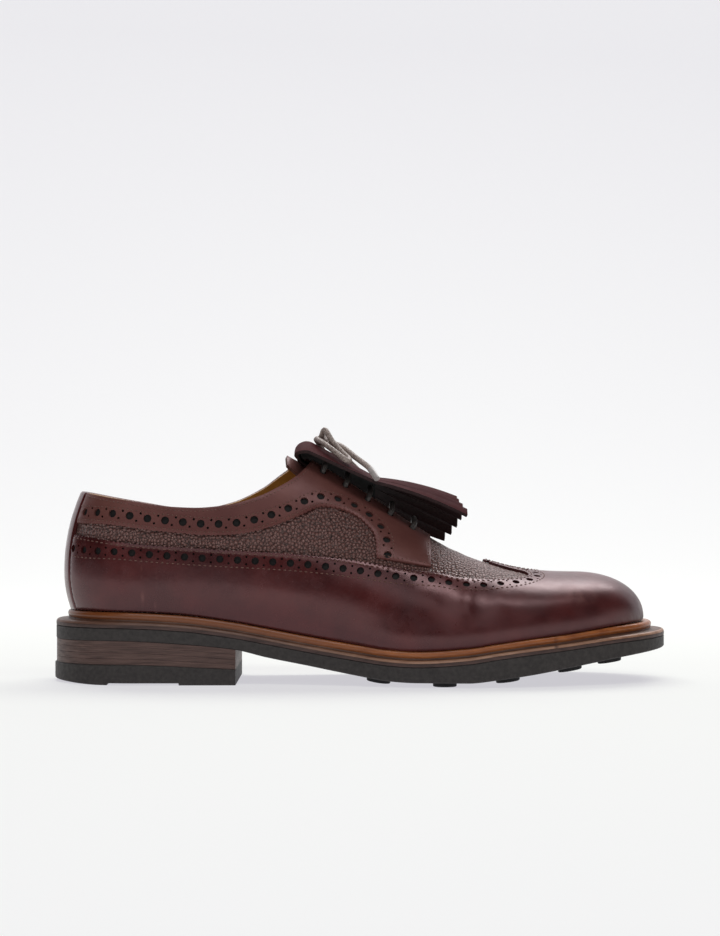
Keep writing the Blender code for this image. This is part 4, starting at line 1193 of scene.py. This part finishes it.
# tongue under the lace: x and half width
tongue = {
    "rows": ((-34.0, 15.0), (-26.0, 18.0), (0.0, 18.0), (30.0, 15.0), (44.0, 12.0)),
    "deep": 5.1, "thick": 1.8, "columns": 31, "steps": 70,
}
halfAt = curveThrough(tongue["rows"], 1)


def acrossPoint(x, y, out):
    # point of the wall at a distance from the centre line
    sign = lateral if y < 0 else medial
    s = np.array([float(stationS(x))])
    return skin(s, wAtGap(s, abs(y), sign), [out])[0]


xs = np.linspace(tongue["rows"][0][0], tongue["rows"][-1][0], tongue["steps"])
spread = np.linspace(-1, 1, tongue["columns"])
topGrid, lowGrid = [np.array([[acrossPoint(x, c * float(halfAt(x)), -deep) for c in spread] for x in xs])
                    for deep in (tongue["deep"], tongue["deep"] + tongue["thick"])]
points, faces, marks = thickSheet(topGrid, lowGrid, True)
dress(meshObject("tongue", points, faces, [looks["collar"], looks["edge"], looks["lining"]], marks),
      "tan_leather", "tongue")
print("insole and tongue ready")

# kiltie: leg under the lace, fold, flap over the lace and nine strips
kiltie = {
    "leg": ((0.0, 6.5), (-14.0, 7.5), (-27.0, 8.5)), "legDeep": 3.65, "thick": 1.6,
    "slit": 0.5, "fan": 0.02, "openTips": 0.8, "curl": 0.25,
    # x, z, drop of the lateral and the medial edge, half width
    "flap": (
        (-30.6, 112.2, 2.0, 2.0, 13.0), (-31.6, 114.8, 3.0, 4.6, 19.0), (-29.6, 117.3, 4.2, 8.0, 22.5),
        (-26.0, 118.1, 4.7, 11.0, 24.0), (-21.5, 116.1, 4.4, 12.0, 24.5), (-6.0, 107.8, 3.2, 12.5, 25.5),
        (8.0, 100.2, 1.9, 14.0, 26.0),
    ),
    # tip x, tip z at both edges, bow, lateral to medial
    "strips": (
        (52.4, 82.2, 85.0, 1.6), (50.4, 85.0, 87.4, 2.0), (48.8, 87.4, 89.6, 1.8), (48.0, 89.6, 91.0, 1.6),
        (47.6, 91.0, 86.8, 1.6), (51.0, 86.8, 79.8, 1.2), (49.0, 80.8, 76.0, 0.4), (46.4, 77.0, 72.2, -0.6),
        (43.2, 73.4, 69.0, -1.6),
    ),
    "columnsPerStrip": 6, "rowsPerStrip": 16,
}
count = len(kiltie["strips"])
columns = count * kiltie["columnsPerStrip"] + 1
spread = np.linspace(-1, 1, columns)
rows = []
for x, half in kiltie["leg"]:
    rows.append([acrossPoint(x, c * half, -kiltie["legDeep"]) for c in spread])
for x, z, lateralDrop, medialDrop, half in kiltie["flap"]:
    rows.append([(x, c * half, z - (lateralDrop if c < 0 else medialDrop) * c * c) for c in spread])
rows = np.array(rows)


def gridNormals(grid):
    return unit(np.cross(np.gradient(grid, axis=0), np.gradient(grid, axis=1)))


body = throughRows(rows, 8)
half = kiltie["thick"] / 2
per = kiltie["columnsPerStrip"]
root = body[-1]
normals = gridNormals(body)
points, faces, marks = thickSheet(body + normals * half, body - normals * half)
parts = [(points, faces)]
for i, (tipX, leftZ, rightZ, bow) in enumerate(kiltie["strips"]):
    t = np.linspace(0, 1, kiltie["rowsPerStrip"])[:, None]
    fromX, fromY, fromZ = root[i * per:(i + 1) * per + 1].T
    lean = np.linspace(kiltie["slit"] / 2, -kiltie["slit"] / 2, per + 1)
    tipZ = np.linspace(leftZ, rightZ, per + 1)
    x = fromX + (tipX - fromX) * t
    y = fromY * (1 + kiltie["fan"] * t) + lean * (np.minimum(t * 4, 1) + kiltie["openTips"] * t)
    z = fromZ + (tipZ - fromZ) * t + bow * 4 * t * (1 - t)
    z = z - kiltie["curl"] * np.linspace(-1, 1, per + 1) ** 2 * t
    strip = np.stack((x, y, z), -1)
    normals = gridNormals(strip)
    points, faces, stripMarks = thickSheet(strip + normals * half, strip - normals * half)
    parts.append((points, faces))
    # the strips' undersides take the cut edge look, as painted shade
    marks += [min(mark, 1) for mark in stripMarks]
points, faces = joinParts(parts)
# the flap's underside takes the painted shade; the strips' undersides take the darker edge look
kiltieLooks = [looks["kiltie"], looks["kiltieEdgeAndPaintedShade"], looks["kiltieUnderPaintedShade"]]
dress(meshObject("kiltie", points, faces, kiltieLooks, marks, 40.0), "burgundy_leather", "kiltie")
print("kiltie ready")

# lace: bars through the eyelets, then the bow
lace = {
    "diameter": 2.8, "tipLength": 8.5, "tipWider": 0.12, "step": 1.2,
    # half of a bar, from the eyelet to the middle: distance from the centre line, height over the wall
    "bar": ((15.0, 0.2), (14.6, 2.2), (12.5, 3.5), (7.5, 3.7), (0.0, 3.7)), "barSlimmer": 0.05,
    # knot: its place, half sizes and radius of the turns, then turn and shift of each
    "knot": (-19.4, -1.0, 119.3), "knotHalf": (2.0, 0.7, 1.15), "knotRadius": 1.35,
    "knotTurns": ((0.0, -1.56), (1.9, 0.12), (3.7, 1.68)),
    # routes of the bow, each starting at the knot
    "routeLoopLateral": (
        (-19.2, -5.1, 121.2), (-17.4, -8.4, 124.4), (-13.6, -12.4, 118.6), (-9.2, -16.0, 113.6),
        (-5.4, -19.8, 110.0), (-6.8, -23.8, 109.4), (-16.6, -15.8, 116.8), (-21.6, -6.2, 120.0),
    ),
    "routeLoopMedial": (
        (-19.3, 3.4, 121.1), (-17.6, 9.5, 121.4), (-13.6, 15.5, 114.6), (-9.8, 20.8, 107.0),
        (-11.0, 23.4, 104.8), (-15.4, 20.8, 108.6), (-20.2, 12.0, 116.9), (-21.9, 3.9, 119.8),
    ),
    "routeEndLateral": (
        (-15.4, -2.8, 117.9), (-9.6, -10.0, 116.4), (-2.0, -17.5, 110.6), (4.4, -23.0, 105.6),
        (8.2, -28.4, 100.4),
    ),
    "routeEndMedial": (
        (-16.1, 1.1, 117.6), (-8.6, 9.0, 111.6), (0.0, 16.0, 103.4), (5.0, 22.2, 96.8), (8.0, 27.6, 90.4),
    ),
}


def tube(path, radius, sides=14):
    # round tube along a path, closed at both ends
    path = np.asarray(path, float)
    tangent = unit(np.gradient(path, axis=0))
    frameUp = np.array((0.0, 0.0, 1.0)) if abs(tangent[0][2]) < 0.9 else np.array((1.0, 0.0, 0.0))
    rings = []
    turn = np.linspace(0, 2 * np.pi, sides, endpoint=False)
    for p, direction in zip(path, tangent):
        side = unit(np.cross(direction, frameUp))
        frameUp = np.cross(side, direction)
        rings.append(p + radius * (np.cos(turn)[:, None] * side + np.sin(turn)[:, None] * frameUp))
    return np.concatenate(rings), ringFaces(len(path), sides)


barRoute = [(-y, out) for y, out in lace["bar"]] + list(lace["bar"][-2::-1])
bars = [[acrossPoint(x, y, out) for y, out in barRoute] for x in facing["eyeletsX"]]
barRadius = lace["diameter"] / 2 - lace["barSlimmer"]
points, faces = joinParts([tube(smoothLine(bar, 0.7), barRadius) for bar in bars])
# the bars take the lace's copy in painted shade
dress(meshObject("laceBars", points, faces, [looks["lacePaintedShade"]], None, 60.0), "waxed_cord", "lace_bars")


def knotPath(turn, shift):
    t = np.linspace(0, 2 * np.pi, 40)
    wide, weave, high = lace["knotHalf"]
    path = (wide * np.cos(t + turn), shift + weave * np.sin(2 * t), high * np.sin(t + turn))
    return np.column_stack(path) + np.array(lace["knot"])


points, faces = joinParts([tube(knotPath(*turn), lace["knotRadius"]) for turn in lace["knotTurns"]])
knotPiece = meshObject("laceKnot", points, faces, [looks["lace"]], None, 60.0)
dress(knotPiece, "waxed_cord", "lace_knot")


def cordCurve(name, rows):
    data = bpy.data.curves.new(name, "CURVE")
    data.dimensions = "3D"
    data.bevel_depth = lace["diameter"] / 2 * mm
    data.bevel_resolution = 4
    data.use_fill_caps = True
    line = smoothLine(rows, lace["step"])
    spline = data.splines.new("POLY")
    spline.points.add(len(line) - 1)
    for point, here in zip(spline.points, line):
        point.co = (*(here * mm), 1.0)
    data.materials.append(looks["lace"])
    thing = bpy.data.objects.new(name, data)
    bpy.context.scene.collection.objects.link(thing)
    return thing, line


for key, node, end in (("LoopLateral", "lace_loop_lateral", "object"),
                       ("LoopMedial", "lace_loop_medial", "object"),
                       ("EndLateral", "lace_end_lateral", "fitting"),
                       ("EndMedial", "lace_end_medial", "fitting")):
    thing, line = cordCurve("lace" + key, lace["route" + key])
    dress(thing, "waxed_cord", node)
    extra = [knotPiece] if key == "LoopLateral" else []
    if end == "fitting":
        tipPath = line[-int(lace["tipLength"] / lace["step"]):]
        tipPath = np.concatenate((tipPath, [tipPath[-1] + unit(tipPath[-1] - tipPath[-2]) * 0.3]))
        points, faces = tube(tipPath, lace["diameter"] / 2 + lace["tipWider"])
        tip = meshObject("laceTip" + key[3:], points, faces, [looks["tip"]], None, 50.0)
        extra.append(dress(tip, "waxed_cord"))
print("lace ready")


# stitches: small threads that dip at both ends, joined into one mesh
def threads():
    ring = np.linspace(0, 2 * np.pi, 5, endpoint=False)
    stops = ((-0.5, 0.35, -0.34), (-0.3, 0.9, 0.0), (0.0, 1.0, 0.1), (0.3, 0.9, 0.0), (0.5, 0.35, -0.34))
    template = []
    for t, size, lift in stops:
        template += [(t, size * math.cos(a), lift, size * math.sin(a)) for a in ring]
    template = np.array(template)
    tiles = ringFaces(len(stops), len(ring))
    allPoints, allFaces = [], []
    for line, out, pitch, length, thick in stitchRows:
        line = evenOnSkin(line, 0.1)
        picks = np.arange(int(pitch * 5), len(line) - 5, pitch * 10).astype(int)
        tangent, normal, side = sidesOf(line)
        base = skin(line[:, 0], line[:, 1], out)
        for k in picks:
            along, across, rise = tangent[k], side[k], normal[k]
            start = len(allPoints) * len(template)
            spots = (base[k] + np.outer(template[:, 0] * length, along)
                     + np.outer(template[:, 1] * thick, across)
                     + np.outer(template[:, 2] + template[:, 3] * thick, rise))
            allPoints.append(spots)
            allFaces += [[i + start for i in tile] for tile in tiles]
    return np.concatenate(allPoints), allFaces


points, faces = threads()
dress(meshObject("stitches", points, faces, [looks["thread"]], None, 60.0), "burgundy_leather")
print("stitches ready", len(faces))

# stage: pale sweep, soft studio light and the camera
stage = {
    "camera": (0.0, -1.25, 0.1055), "lens": 96.15,
    # place and aim in metres, size, power
    "boxes": {
        "topBox": ((0.1, 0.7, 1.1), (0.05, 0.0, 0.05), (1.5, 0.65), 17.0),
        "frontBox": ((0.15, -0.62, 1.12), (0.08, 0.0, 0.02), (1.2, 0.3), 5.5),
        "lowBox": ((-0.3, -1.35, 0.78), (0.05, 0.0, 0.05), (1.6, 0.6), 2.8),
    },
    "world": ((0.85, 0.86, 0.9, 1.0), 0.02),
    # sweep in millimetres: front, start of the bend, its radius, height, half width
    "sweep": (-1000.0, 900.0, 600.0, 3000.0, 3000.0),
}


def sweep():
    look, tree, shader = newLook("paleSweep")
    far = combine(tree, "ABSOLUTE", placeOn(tree, "Y"))
    setInputs(tree, shader, Base_Color=(0.31, 0.325, 0.275, 1.0), Roughness=0.9, Specular_IOR_Level=0.0,
              Emission_Color=(0.875, 0.86, 0.92, 1.0),
              Emission_Strength=between(tree, far, 0.1, 1.5, 0.665, 0.8))
    front, bend, radius, high, half = stage["sweep"]
    line = [(front, 0.0), (bend, 0.0)]
    for turn in np.linspace(0, math.pi / 2, 13)[1:]:
        line.append((bend + radius * math.sin(turn), radius - radius * math.cos(turn)))
    line.append((bend + radius, high))
    grid = np.array([[(x, y, z) for x in (-half, half)] for y, z in line])
    faces = sheetFaces(len(line), 2, 0, True)
    meshObject("sweep", grid.reshape(-1, 3), faces, [look], None, 80.0)


def softBox(name, place, aim, size, power):
    data = bpy.data.lights.new(name, "AREA")
    data.shape = "RECTANGLE"
    data.size, data.size_y = size
    data.energy = power
    thing = bpy.data.objects.new(name, data)
    thing.location = place
    thing.rotation_euler = (Vector(aim) - Vector(place)).to_track_quat("-Z", "Y").to_euler()
    thing.visible_camera = False
    bpy.context.scene.collection.objects.link(thing)


sweep()
for name, box in stage["boxes"].items():
    softBox(name, *box)
world = bpy.data.worlds.new("studio")
world.use_nodes = True
background = world.node_tree.nodes["Background"].inputs
background["Color"].default_value, background["Strength"].default_value = stage["world"]
bpy.context.scene.world = world
bpy.context.scene.view_settings.view_transform = "Standard"

camera = bpy.data.objects.new("camera", bpy.data.cameras.new("camera"))
camera.data.lens = stage["lens"]
camera.location = stage["camera"]
camera.rotation_euler = (math.pi / 2, 0.0, 0.0)
bpy.context.scene.collection.objects.link(camera)
bpy.context.scene.camera = camera
print("stage ready")
